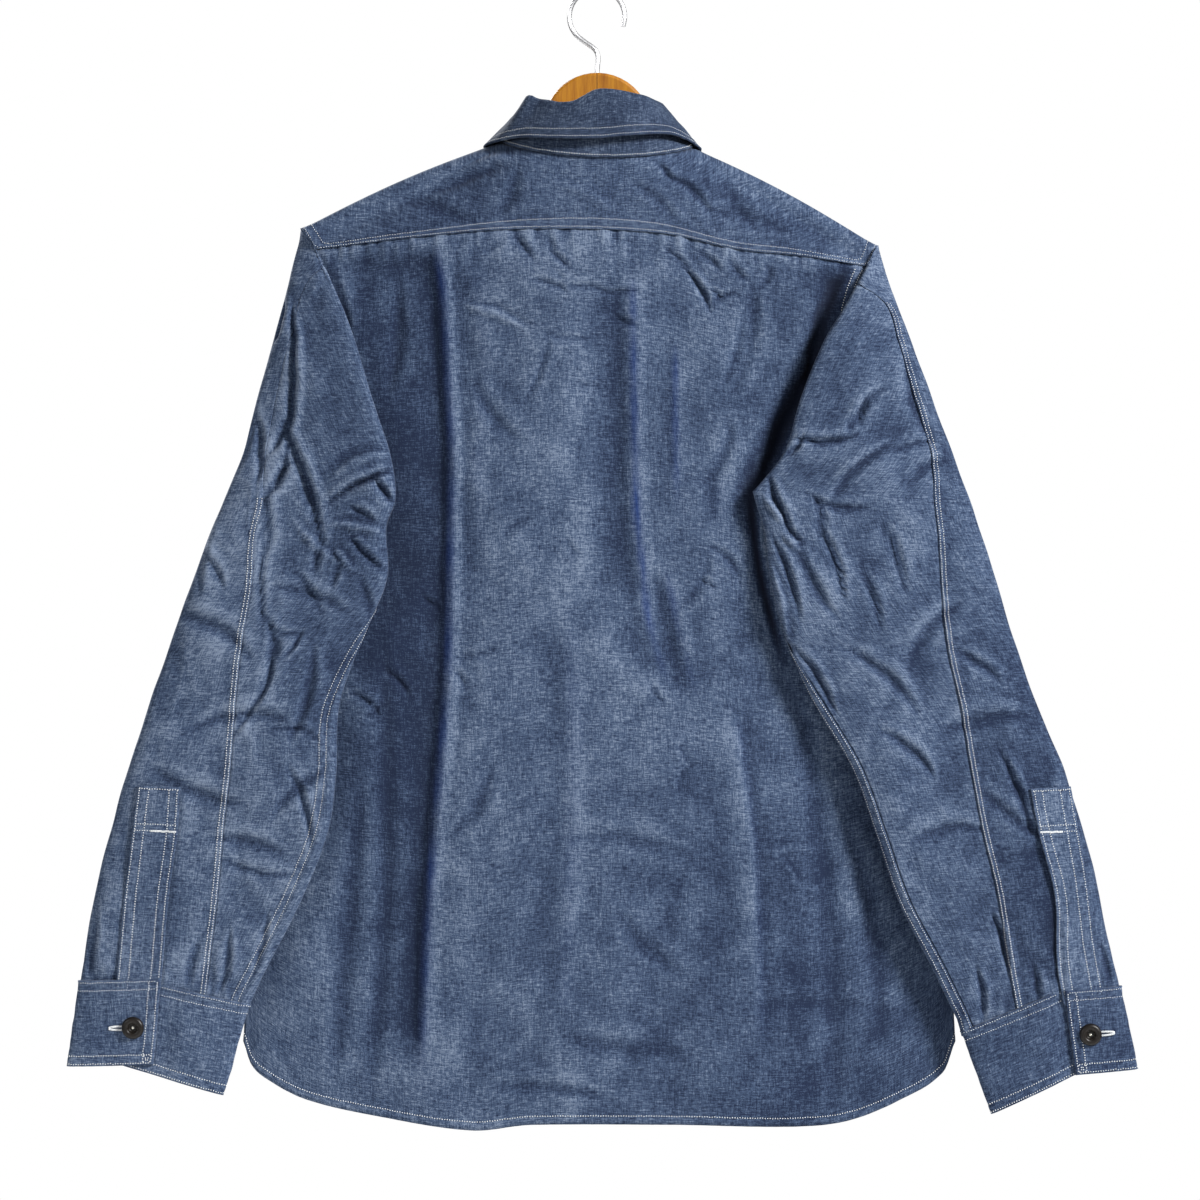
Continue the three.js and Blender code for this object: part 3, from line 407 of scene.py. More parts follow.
def seam_angles(side, at):
    """The seams under and behind the arm, which meet in the under sleeve's point."""
    under = np.radians(SLEEVES[side]["under_seam"](at))
    pointed = smooth((at - TIP_SECTION) / (TIP_SECTION / 2))
    return under, mix(under + TIP_ANGLE, np.radians(SLEEVES[side]["back_seam"](at)), pointed)


# ---- The collar's and cuffs' surfaces ----
def collar_ring(turn, up, out):
    """A point up from the neck's line and out from it, leaning as the collar does."""
    facing, sidewards = np.cos(PI * turn), np.sin(PI * turn)
    most = np.radians(np.where(turn < 0, COLLAR["lean_left"], COLLAR["lean_right"]))
    lean = most * np.abs(sidewards) ** 1.5
    away = np.stack([sidewards * NECK["half_depth"], -facing * NECK["half_width"]], -1)
    away /= np.linalg.norm(away, axis=-1, keepdims=True)
    points = neck_point(turn)
    points[..., :2] += away * (out * np.cos(lean))[..., None]
    points[..., 0] -= np.sign(sidewards) * up * np.sin(lean)
    points[..., 2] += up * np.cos(lean) + out * np.sin(lean)
    return points


STAND_FOOT = -0.6  # the height that the stand begins at
STAND_OVERLAP = 1.8  # how far its ends pass in front of and behind each other


def stand_point(share, along):
    up = mix(STAND_FOOT, COLLAR["stand"], along)
    turn = mix(-1, 1, share) * (1 + COLLAR["overlap"])
    overlap = STAND_OVERLAP * smooth((np.abs(turn) - 0.86) / 0.1) * -np.sign(turn)
    return collar_ring(turn, up, overlap + 1.3 * (1 - smooth((up - 1) / 6)))


# The collar's unevenness round the back of the neck, from left to right: how far its fold rises
# over its even height, and how much further down its lower edge comes.
FOLD_RISE = Curve(
    [-0.5, -0.43, -0.39, -0.33, -0.28, -0.22, -0.17, -0.1,
     -0.05, 0, 0.06, 0.12, 0.2, 0.3, 0.4, 0.5],
    [-12, -10, -3.5, -3.6, -3.8, -5.4, -7, -6.4, -2, 2.8, 3.4, 3, 3, 4.4, 3, 1],
)
LEAF_DROP = Curve(
    [-0.5, -0.42, -0.3, -0.15, 0, 0.15, 0.3, 0.42, 0.5], [22, 16, 8, 6, 4, 1.5, 1.5, 9, 16]
)
LEAF = dict(inner=0.25, over=0.2, lower=1.5, lift_left=1, lift_right=3)
LEAF_DENT = dict(turn=-0.37, reach=0.05, out=6)  # where the fold bulges beside the neck


def leaf_point(share, along):
    """along runs up inside the fold, over it and down to the leaf's edge."""
    turn = mix(-1, 1, share) * COLLAR["leaf_turn"]
    front = smooth((np.abs(turn) - 0.5) / 0.46)
    behind = 1 - front
    side = smooth((np.abs(turn) - 0.3) / 0.2)
    on_back = np.clip(turn, -0.5, 0.5)
    fall = mix(COLLAR["fall"], COLLAR["point_fall"], front**2) + LEAF_DROP(on_back) * behind
    rise = FOLD_RISE(on_back) * behind - LEAF["lower"]
    roll = mix(COLLAR["roll"], COLLAR["side_roll"], smooth(np.abs(turn) / 0.45)) + rise
    base = COLLAR["stand"] + COLLAR["gap"]
    t = np.clip((along - LEAF["inner"]) / (1 - LEAF["inner"]), 0, 1)
    over = np.clip(t / LEAF["over"], 0, 1) * PI
    drop = np.maximum(0, t - LEAF["over"]) / (1 - LEAF["over"])
    lift = np.where(turn < 0, LEAF["lift_left"], -LEAF["lift_right"])
    bulge = bell((turn - LEAF_DENT["turn"]) / LEAF_DENT["reach"]) * smooth((along - 0.15) / 0.25)
    out = COLLAR["bend"] * (1 - np.cos(over)) + COLLAR["flare"] * drop
    out = out + COLLAR["front_lift"] * front * smooth(2 * drop) + lift * side * behind * drop
    out = out + LEAF_DENT["out"] * bulge * (1 - drop)
    up = base + roll + COLLAR["bend"] * np.sin(over) - drop * (fall + rise)
    up = np.where(along < LEAF["inner"], base + roll * along / LEAF["inner"], up)
    return collar_ring(turn, up, out)


def cuff_ends(side, along):
    """A cuff's two edges and its slit, and the angles that its own ends are at."""
    cuff = CUFFS[side]
    ends = ("out_x", "out_down", "fold_x", "fold_down", "slit")
    ring = {key: mix(*cuff[key], along) for key in ends}
    width = np.hypot(ring["fold_x"] - ring["out_x"], ring["fold_down"] - ring["out_down"])
    start = np.arccos(2 * ring["slit"] - 1)
    end = 2 * PI + np.arccos(2 * (ring["slit"] - CUFF["underlap"] / width) - 1)
    return ring, start, end


def cuff_point(side, share, along):
    """The cuff's band, with both its ends turned up at the slit."""
    ring, start, end = cuff_ends(side, along)
    angle = mix(start, end, share)
    tuck = smooth((angle - (2 * PI + start - 0.35)) / 0.3) * (LINED + 0.45)
    where = (1 + np.cos(angle)) / 2
    inwards, outwards = where / ring["slit"], (1 - where) / (1 - ring["slit"])
    showing = np.sin(angle) > 0
    rounded = np.abs(np.sin(angle)) ** ROUND
    hollow = np.where(showing, tuck - CUFF["puff"], CUFF["sink"])
    rise = np.where(showing, 0, CUFF["rise"] * along * rounded)
    flap = np.where(angle < PI, inwards, 0)
    below = np.where(angle > 2 * PI, outwards, 0)
    proud = CUFF["proud"] * np.minimum(flap + below, 1) * (1 - smooth(along / 0.7))
    raised, lower = mix(*CUFFS[side]["flap_lift"], along), CUFFS[side]["under_lift"]
    behind = np.minimum(inwards * raised, outwards * lower + 2) * smooth(along / 0.6)
    lift = np.where(showing, raised * flap + lower * below, behind)
    return place(
        mix(ring["out_x"], ring["fold_x"], where),
        mix(CUFF["out_y"], CUFF["fold_y"], where) + hollow * rounded - proud,
        mix(ring["out_down"], ring["fold_down"], where) - rise - lift,
    )


# ---- Waves, creases and puckers ----
def noise(x, y, seed):
    """Smooth noise over a plane, about -1 to 1, one cell to a unit."""
    size = 64
    turns = np.random.default_rng(seed).uniform(0, 2 * PI, (size, size))
    i, j = np.floor(x).astype(int), np.floor(y).astype(int)
    u, v = x - i, y - j

    def corner(a, b):
        turn = turns[(i + a) % size, (j + b) % size]
        return np.cos(turn) * (u - a) + np.sin(turn) * (v - b)

    s, t = (w**3 * (w * (6 * w - 15) + 10) for w in (u, v))
    return 1.5 * mix(mix(corner(0, 0), corner(1, 0), s), mix(corner(0, 1), corner(1, 1), s), t)


def rumple(x, y, seed, size=1.0):
    """The small uneven waves of worn cotton, in millimetres of height."""
    def wave(wide, tall, number):
        return noise(x / wide, y / tall, seed + number)

    def ridge(cells, number, narrow, power, where):
        """Narrow ridges along the middle of one noise, in the places where another is high."""
        sharp = np.maximum(1 - np.abs(wave(*cells, number)) * narrow, 0) ** power
        return sharp * np.maximum(where, 0)

    x = x + 12 * wave(55, 55, 1)
    y = y + 12 * wave(60, 60, 2)
    soft = 2.6 * wave(80, 150, 3) + 1.1 * wave(36, 52, 4) + 0.4 * wave(15, 18, 5)
    broad = 0.9 * ridge((70, 80), 6, 3, 3, wave(50, 50, 7))
    fine = 0.55 * ridge((34, 42), 8, 4, 2, wave(60, 70, 9) + 0.15)
    return size * (soft + broad + fine)


def blurred(values, reach):
    """Each value of a grid as the mean of those within some steps of it."""
    for axis in (0, 1):
        ends = [(reach, reach) if axis == k else (0, 0) for k in (0, 1)]
        total = np.cumsum(np.pad(values, ends, mode="edge"), axis)
        total = np.insert(total, 0, 0, axis)
        count = values.shape[axis]
        high = np.take(total, np.arange(count) + 2 * reach + 1, axis)
        values = (high - np.take(total, np.arange(count), axis)) / (2 * reach + 1)
    return values


def wear_and_crease_shade(height, strength=0.35):
    """Wear lightens ridges and painted shade darkens troughs: how much lighter each place is."""
    return strength * np.tanh((height - blurred(blurred(height, 3), 3)) / 0.8)


def painted_light(patches, x, down):
    """Broad patches of painted light and shade, each lighter or darker."""
    shade = 0 * x
    for p in patches:
        aside, below = (x - p["x"]) / p["wide"], (down - p["down"]) / p["tall"]
        shade = shade + p["lighter"] * np.exp(-(aside**2) - below**2)
    return shade


def pucker(distance, along, seed, height=0.55, reach=9, wave=8.5):
    """Small gathers that run away from a seam."""
    waves = noise(along / wave, distance / 40, seed)
    waves += 0.6 * noise(along / 4.3, distance / 25, seed + 1)
    return height * np.exp(-distance / reach) * waves


RELIEF = 1.5  # deepens the listed creases and folds
CRISP = 0.75  # and narrows the creases
CREASE_WANDER = dict(height=1.1, cell=17, seed=5)


def creases(placed, x, down):
    """The height of listed creases: tapering troughs or ridges from one place to another."""
    height = 0 * x
    cell = CREASE_WANDER["cell"]
    wander = CREASE_WANDER["height"] * noise(x / cell, down / cell, CREASE_WANDER["seed"])
    for c in placed:
        run, fall = c["to_x"] - c["x"], c["to_down"] - c["down"]
        length = np.hypot(run, fall)
        aside, below = x - c["x"], down - c["down"]
        along = (aside * run + below * fall) / length**2
        across = (aside * fall - below * run) / length - c["bow"] * 4 * along * (1 - along) + wander
        along = np.clip((along + 0.14) / 1.28, 0, 1)
        taper = 4 * along * (1 - along)
        width = CRISP * c["width"] * (0.45 + 0.6 * taper)
        ridge = bell((across - 2.1 * width) / (1.4 * width))
        height = height - RELIEF * c["depth"] * taper**0.8 * (bell(across / width) - 0.4 * ridge)
    return height


def folds(placed, x, down):
    """Long folds: their height, the blue kept along them, and the painted shade beside them."""
    height, blue, painted_fold_shade = 0 * x, 0 * x, 0 * x
    for fold in placed:
        spots = fold["down"]
        fade = smooth((down - spots[0]) / 30) * smooth((spots[-1] - down) / 50)
        aside = x - Curve(spots, fold["x"])(down)
        beyond = smooth((-aside - fold["width"]) / fold["rise"])
        low = smooth(-aside / fold["width"]) * (1 - beyond)
        height = height + RELIEF * fade * fold["drop"] * (0.25 * bell((aside - 3) / 4) - low)
        uneven = 0.65 + 0.5 * noise(down / 34, 0 * x + fold["x"][0], 7)
        streak = uneven * fade * fold["blue"] * bell((aside + 1.2) / fold["streak"])
        blue = np.maximum(blue, streak)
        # painted shade over the low side of each fold
        painted_fold_shade = painted_fold_shade - fade * fold["dark"] * low
    return height, blue, painted_fold_shade


def groove(distance, *rows, deep=0.25, wide=0.7):
    """How far rows of stitches draw the cloth in, at a distance from its edge."""
    return deep * sum(bell((distance - row) / wide) for row in rows)


def seam_band(distance, rows, height=0.45):
    """The height of a felled seam beside its edge: a low band with a groove at each row."""
    band = height * smooth((rows[-1] + 1.4 - distance) / 1.2)
    return band - groove(distance, *rows, deep=0.3, wide=0.8)


def felled(distance, rows):
    """The same where the edge lies over another piece."""
    return seam_band(distance, rows, 0.5) + 0.35 * smooth((2 - distance) / 2)


def held_down(height, most):
    """Heights up to a limit, so that nothing stands far off the body."""
    return np.where(height > 0, most * np.tanh(height / most), height)


# ---- Sheets of cloth ----
def grid_normals(points):
    return unit(np.cross(np.gradient(points, axis=0), np.gradient(points, axis=1)))


def lengths(points, axis):
    """How far along its row or column each point of a grid is."""
    steps = np.linalg.norm(np.diff(points, axis=axis), axis=-1)
    start = np.zeros_like(np.take(steps, [0], axis))
    return np.concatenate([start, np.cumsum(steps, axis)], axis)


class Sheet:
    """A grid of points over a piece of cloth, in rows from its top and columns from its left."""

    def __init__(self, name, surface, columns, rows, outward, thickness=CLOTH):
        self.name, self.thickness = name, thickness
        self.across, self.along = np.meshgrid(np.linspace(0, 1, columns), np.linspace(0, 1, rows))
        self.points = surface(self.across, self.along)
        middle = grid_normals(self.points)[rows // 2, columns // 2]
        self.flip = -1 if np.dot(middle, outward) < 0 else 1
        self.normals = self.flip * grid_normals(self.points)
        self.u, self.v = lengths(self.points, 1), lengths(self.points, 0)
        self.left, self.right = self.u, self.u[:, -1:] - self.u
        self.top, self.bottom = self.v, self.v[-1:] - self.v
        self.side = np.minimum(self.left, self.right)
        self.shade = np.zeros_like(self.u)  # how much lighter it is painted: wear, and painted light and shade
        self.blue = np.zeros_like(self.u)  # how much of its first blue it has kept

    @property
    def x(self):
        return self.points[..., 0]

    @property
    def down(self):
        return -self.points[..., 2]

    def raise_by(self, height):
        """Moves the cloth out along its normals, by millimetres at each point."""
        self.points = self.points + self.normals * np.asarray(height)[..., None]
        self.normals = self.flip * grid_normals(self.points)

    def area(self):
        """Square metres of one layer."""
        p = self.points
        diagonals = np.cross(p[1:, 1:] - p[:-1, :-1], p[1:, :-1] - p[:-1, 1:])
        return np.linalg.norm(diagonals, axis=-1).sum() / 2 * MM**2

    def at(self, row, column):
        """Points and normals at places between the grid's rows and columns."""
        rows, columns = self.points.shape[:2]
        row, column = np.clip(row, 0, rows - 1.001), np.clip(column, 0, columns - 1.001)
        i, j = row.astype(int), column.astype(int)
        s, t = (row - i)[:, None], (column - j)[:, None]
        found = []
        for values in (self.points, self.normals):
            upper = mix(values[i, j], values[i, j + 1], t)
            lower = mix(values[i + 1, j], values[i + 1, j + 1], t)
            found.append(mix(upper, lower, s))
        return found[0], unit(found[1])

    def on_top(self, row, column):
        """A line on the outer face, through places between the grid's rows and columns."""
        points, normals = self.at(row, column)
        return points + normals * self.thickness / 2, normals

    def line(self, edge, inset, start=0.0, end=1.0):
        """A line that keeps a distance from one edge, from start to end as shares of that edge."""
        distance = getattr(self, edge)
        beside = edge in ("left", "right")
        if beside:
            distance = distance.T
        lanes = distance.shape[1]
        picks = np.linspace(start, end, lanes) * (lanes - 1)
        depth = []
        for pick in picks:
            lane = distance[:, int(round(pick))]
            steps = np.arange(len(lane))
            if lane[0] > lane[-1]:
                lane, steps = lane[::-1], steps[::-1]
            depth.append(np.interp(inset, lane, steps))
        depth = np.array(depth)
        return self.on_top(picks, depth) if beside else self.on_top(depth, picks)

    def path(self, *places):
        """A line through places given as (from the left edge, from the top edge)."""
        rows, columns = self.points.shape[:2]
        spots = []
        for aside, below in places:
            column = np.interp(aside, self.left[rows // 2], range(columns))
            row = np.interp(below, self.top[:, int(column)], range(rows))
            spots.append((row, np.interp(aside, self.left[int(row)], range(columns))))
        steps = np.linspace(0, len(spots) - 1, 12 * (len(spots) - 1) + 1)
        row, column = (np.interp(steps, range(len(spots)), values) for values in zip(*spots))
        return self.on_top(row, column)

    def build(self, material, slot, node, flat=None):
        """Makes the closed shell, with the cloth's own flat coordinates on it for the weave."""
        rows, columns = self.points.shape[:2]
        half = self.normals * self.thickness / 2
        points = np.concatenate([(self.points + s * half).reshape(-1, 3) for s in (1, -1)])
        index = np.arange(rows * columns).reshape(rows, columns)
        quad = (index[:-1, :-1], index[:-1, 1:], index[1:, 1:], index[1:, :-1])
        a, b, c, d = (corner.ravel() for corner in quad)
        outer = np.stack([a, d, c, b] if self.flip > 0 else [a, b, c, d], 1)
        inner = outer[:, ::-1] + rows * columns
        rim = np.concatenate([index[:, 0], index[-1, 1:], index[-2::-1, -1], index[0, -2:0:-1]])
        after = np.roll(rim, -1)
        edge = np.stack([rim, after, after + rows * columns, rim + rows * columns], 1)
        if self.flip > 0:
            edge = edge[:, ::-1]
        if flat is None:
            middle = slice(columns // 2, columns // 2 + 1)
            u = self.u - self.u[:, middle]
            flat = np.stack([u, np.broadcast_to(self.v[:, middle], u.shape)], -1)
        flat = np.tile(flat.reshape(-1, 2) * MM, (2, 1))
        tints = {"shade": self.shade, "blue": np.clip(self.blue, 0, 1)}
        tints = {key: np.tile(values.ravel(), 2) for key, values in tints.items()}
        faces = np.concatenate([outer, inner, edge])
        self.object = mesh_object(self.name, points, faces, material, slot, flat, tints)
        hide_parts(node)


def mesh_object(name, points, faces, material, slot, flat=None, tints=None):
    """A mesh from points in millimetres and equal-sided faces, riding on the part."""
    mesh = bpy.data.meshes.new(name)
    sides = faces.shape[1]
    mesh.vertices.add(len(points))
    mesh.vertices.foreach_set("co", (points * MM).astype(np.float32).ravel())
    mesh.loops.add(faces.size)
    mesh.loops.foreach_set("vertex_index", faces.astype(np.int32).ravel())
    mesh.polygons.add(len(faces))
    mesh.polygons.foreach_set("loop_start", np.arange(0, faces.size, sides, dtype=np.int32))
    mesh.polygons.foreach_set("use_smooth", np.ones(len(faces), bool))
    mesh.update(calc_edges=True)
    mesh.validate()
    if flat is not None:
        layer = mesh.uv_layers.new(name="Cloth")
        corners = np.zeros(len(mesh.loops), np.int32)
        mesh.loops.foreach_get("vertex_index", corners)
        layer.data.foreach_set("uv", flat[corners].astype(np.float32).ravel())
    for key, values in (tints or {}).items():
        attribute = mesh.attributes.new(key, "FLOAT", "POINT")
        attribute.data.foreach_set("value", values.astype(np.float32))
    mesh.materials.append(material)
    piece = bpy.data.objects.new(name, mesh)
    bpy.context.scene.collection.objects.link(piece)
    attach(piece, "root")
    return piece


# ---- Thread ----
STITCH = dict(length=0.95, pitch=1.9, width=0.85, sink=0.12, wander=0.12)
WORN = 0.58  # the width of the threads of the rows that have worn thin
CAPSULE = dict(ring=0.3, high=0.42, tuck=0.25)  # where a stitch's rings are, and its ends' depth


class Threads:
    """Collects the stitches of a piece and makes them as one mesh."""

    def __init__(self, name):
        self.name, self.points, self.faces, self.count = name, [], [], 0

    def sew(self, line, seed, pitch=STITCH["pitch"], length=STITCH["length"],
            width=STITCH["width"], wander=STITCH["wander"]):
        """Stitches at even steps along a line of (points, normals)."""
        points, normals = line
        steps = np.linalg.norm(np.diff(points, axis=0), axis=1)
        run = np.concatenate([[0], np.cumsum(steps)])
        number = int(run[-1] / pitch)
        if number < 1:
            return
        spots = (np.arange(number) + 0.5) * run[-1] / number

        def sample(values, at):
            return np.stack([np.interp(at, run, values[:, k]) for k in range(3)], -1)

        centre, normal = sample(points, spots), unit(sample(normals, spots))
        ahead = sample(points, np.minimum(spots + 0.4, run[-1]))
        along = unit(ahead - sample(points, np.maximum(spots - 0.4, 0)))
        across = unit(np.cross(normal, along))
        drift = np.random.default_rng(seed).normal(0, wander, (number, 2))
        centre = centre + across * drift[:, :1] + normal * STITCH["sink"]
        along = unit(along + across * drift[:, 1:] * 0.5)
        self.add_capsules(centre, along, across, normal, length, width)

    def rows(self, sheet, edge, insets, seed, start=0.0, end=1.0, **kind):
        """Rows at some distances from a sheet's edge, each from its own seed."""
        for row, inset in enumerate(insets):
            self.sew(sheet.line(edge, inset, start, end), seed + row, **kind)

    def add_capsules(self, centre, along, across, normal, length, width):
        """Short rounded threads: a point at each end and two rings between them."""
        high, tuck = CAPSULE["high"] * width, CAPSULE["tuck"]
        ring = [across * 0.5 * width, normal * high, across * -0.5 * width, normal * -high]
        verts = [centre + along * -0.5 * length - normal * tuck]
        for side in (-1, 1):
            middle = centre + along * side * CAPSULE["ring"] * length
            verts += [middle + corner for corner in ring]
        verts.append(centre + along * 0.5 * length - normal * tuck)
        cells = []
        for k in range(4):
            m = (k + 1) % 4
            cells += [(0, 1 + m, 1 + k), (1 + k, 1 + m, 5 + m)]
            cells += [(1 + k, 5 + m, 5 + k), (9, 5 + k, 5 + m)]
        base = self.count + len(verts) * np.arange(len(centre))
        self.faces.append((base[:, None, None] + np.array(cells)[None]).reshape(-1, 3))
        self.points.append(np.stack(verts, 1).reshape(-1, 3))
        self.count += len(self.points[-1])

    def build(self, slot="cloth"):
        points, faces = np.concatenate(self.points), np.concatenate(self.faces)
        return mesh_object(self.name, points, faces, thread, slot)


# ---- Materials ----
def srgb(red, green, blue, scale=1.0):
    """A colour given as it looks, 0 to 255, as the renderer's linear one."""
    values = [c / 255 for c in (red, green, blue)]
    linear = [c / 12.92 if c < 0.04045 else ((c + 0.055) / 1.055) ** 2.4 for c in values]
    return (*(scale * c for c in linear), 1.0)


class Finish:
    """A material and the few kinds of node that the finishes here are made of."""

    def __init__(self, name, **sockets):
        self.material = bpy.data.materials.new(name)
        self.material.use_nodes = True
        self.nodes = self.material.node_tree.nodes
        self.links = self.material.node_tree.links
        self.shader = self.nodes["Principled BSDF"]
        for key, value in sockets.items():
            self.shader.inputs[key.replace("_", " ")].default_value = value

    def connect(self, value, socket):
        if isinstance(value, bpy.types.NodeSocket):
            self.links.new(value, socket)
        else:
            socket.default_value = value

    def paint(self, colour, key="Base Color"):
        self.connect(colour, self.shader.inputs[key])

    def around(self):
        """The object's own coordinates."""
        return self.nodes.new("ShaderNodeTexCoord").outputs["Object"]

    def attribute(self, name):
        node = self.nodes.new("ShaderNodeAttribute")
        node.attribute_name = name
        return node.outputs["Fac"]

    def maths(self, operation, a, b=0.0):
        node = self.nodes.new("ShaderNodeMath")
        node.operation = operation
        self.connect(a, node.inputs[0])
        self.connect(b, node.inputs[1])
        return node.outputs[0]

    def total(self, *parts):
        """The sum of parts, each given with its weight."""
        weighed = [self.maths("MULTIPLY", value, weight) for value, weight in parts]
        result = weighed[0]
        for part in weighed[1:]:
            result = self.maths("ADD", result, part)
        return result

    def blend(self, share, a, b):
        node = self.nodes.new("ShaderNodeMix")
        node.data_type = "RGBA"
        for value, socket in ((share, 0), (a, 6), (b, 7)):
            self.connect(value, node.inputs[socket])
        return node.outputs[2]

    def noise(self, vector, across, along, detail=2.0, roughness=0.55, turn=0.0):
        """Noise over flat coordinates, in cells a metre across and along them, about 0."""
        mapping = self.nodes.new("ShaderNodeMapping")
        self.links.new(vector, mapping.inputs["Vector"])
        mapping.inputs["Scale"].default_value = (across, along, 1)
        mapping.inputs["Rotation"].default_value = (0, 0, turn)
        texture = self.nodes.new("ShaderNodeTexNoise")
        texture.noise_dimensions = "2D"
        self.links.new(mapping.outputs[0], texture.inputs["Vector"])
        for key, value in (("Scale", 1), ("Detail", detail), ("Roughness", roughness)):
            texture.inputs[key].default_value = value
        return self.maths("SUBTRACT", texture.outputs[0], 0.5)

    def bump(self, height, strength, distance):
        node = self.nodes.new("ShaderNodeBump")
        for key, value in (("Strength", strength), ("Distance", distance), ("Height", height)):
            self.connect(value, node.inputs[key])
        self.links.new(node.outputs[0], self.shader.inputs["Normal"])


LIT = 0.45  # the share of a surface's apparent colour that its own colour is, under this light
DEEPEST = -1.1  # shade down to which the yarns darken; beyond it the whole cloth does


# The noises of the weave: cells a metre across and along the cloth, detail and roughness.
WEAVE = dict(
    warp=(1050, 230, 2.0, 0.6), weft=(200, 1080, 2.0, 0.6),
    slub_warp=(640, 55, 1.0, 0.55), slub_weft=(60, 680, 1.0, 0.55),
    patch=(24, 20, 5.0, 0.6), fine=(1300, 1300, 1.0, 0.6),
)


def chambray(name, dark, middle, light):
    """Plain-woven blue warp and grey-white weft, with thick and thin yarns both ways."""
    made = Finish(
        name, Roughness=0.9, Sheen_Weight=0.04, Sheen_Roughness=0.5, Specular_IOR_Level=0.15
    )
    coordinates = made.nodes.new("ShaderNodeUVMap")
    coordinates.uv_map = "Cloth"
    flat = coordinates.outputs[0]
    woven = {key: made.noise(flat, *cells) for key, cells in WEAVE.items()}
    shade = made.attribute("shade")
    held = made.maths("MAXIMUM", shade, DEEPEST)
    yarns = made.total((woven["warp"], 0.66), (woven["weft"], 0.84))
    slubs = made.total((woven["slub_warp"], 0.34), (woven["slub_weft"], 0.36))
    value = made.total(
        (yarns, 1), (slubs, 1), (woven["patch"], 0.52), (woven["fine"], 0.45), (held, 0.3)
    )
    ramp = made.nodes.new("ShaderNodeValToRGB")
    first, last = ramp.color_ramp.elements
    first.position, last.position = 0.12, 0.92
    first.color, last.color = srgb(*dark, LIT), srgb(*light, LIT)
    ramp.color_ramp.elements.new(0.5).color = srgb(*middle, LIT)
    made.connect(made.maths("ADD", value, 0.5), ramp.inputs["Fac"])
    unfaded = made.blend(
        made.maths("ADD", value, 0.4), srgb(18, 38, 98, LIT), srgb(62, 96, 166, LIT)
    )
    colour = made.blend(made.attribute("blue"), ramp.outputs["Color"], unfaded)
    # below DEEPEST, painted shadow darkens the whole cloth towards this navy
    beyond = made.maths("MULTIPLY", made.maths("SUBTRACT", held, shade), 0.42)
    made.paint(made.blend(beyond, colour, srgb(10, 20, 44, LIT)))
    made.bump(made.total((yarns, 1), (woven["fine"], 0.8)), 0.35, 0.0004)
    return made.material


def mottled(name, cells, detail, dark, light, bump=None, **sockets):
    """A finish that varies softly between two colours."""
    made = Finish(name, **sockets)
    cloudy = made.noise(made.around(), cells, cells, detail)
    made.paint(made.blend(made.maths("ADD", cloudy, 0.5), dark, light))
    if bump:
        made.bump(cloudy, *bump)
    return made.material


def brushed(name, colour, cells, detail, vary, roughness):
    """Bright metal whose roughness varies finely."""
    made = Finish(name, Metallic=1.0)
    fine = made.noise(made.around(), cells, cells, detail)
    made.paint(made.maths("ADD", made.maths("MULTIPLY", fine, vary), roughness), "Roughness")
    made.paint(colour)
    return made.material


def beech(name):
    """Beech under an amber lacquer: long grain along the board, fine pores and a glued joint."""
    made = Finish(name, Roughness=0.55, Specular_IOR_Level=0.3)
    split = made.nodes.new("ShaderNodeSeparateXYZ")
    made.connect(made.around(), split.inputs[0])
    across, height = split.outputs[0], split.outputs[2]
    flat = made.nodes.new("ShaderNodeCombineXYZ")
    made.connect(across, flat.inputs[0])
    made.connect(height, flat.inputs[1])
    rings = made.noise(flat.outputs[0], 260, 22, 3.0, 0.6, 0.06)
    pores = made.noise(flat.outputs[0], 1500, 90, 2.0, 0.6, 0.06)
    tone = made.maths("ADD", made.total((rings, 1.3), (pores, 0.7)), 0.5)
    colour = made.blend(tone, srgb(154, 90, 6, 0.62), srgb(206, 140, 28, 0.62))
    joint = made.maths("LESS_THAN", made.maths("ABSOLUTE", across), 0.0004)
    made.paint(made.blend(made.maths("MULTIPLY", joint, 0.55), colour, srgb(86, 52, 14, 0.5)))
    made.bump(pores, 0.1, 0.0003)
    return made.material


CHAMBRAY = {
    "cloth": chambray("chambray", (34, 49, 80), (81, 101, 134), (152, 169, 196)),
    "collar_cloth": chambray("collar_chambray", (28, 42, 70), (65, 82, 110), (130, 146, 172)),
}
thread = mottled(
    "thread", 900, 2.0, srgb(208, 214, 222, 1.5 * LIT), srgb(250, 251, 250, 1.5 * LIT),
    Roughness=0.75, Specular_IOR_Level=0.2,
)
button_finish = mottled(
    "button", 240, 3.0, srgb(9, 8, 7), srgb(26, 21, 18), (0.08, 0.0003),
    Roughness=0.38, Specular_IOR_Level=0.25,
)
shank_finish = brushed("button_shank", srgb(225, 222, 212), 1500, 2.0, 0.3, 0.3)
HANGER = {
    "hanger_wood": beech("hanger_wood"),
    "hanger_hook": brushed("hanger_hook", srgb(214, 214, 216), 2000, 3.0, 0.2, 0.34),
}
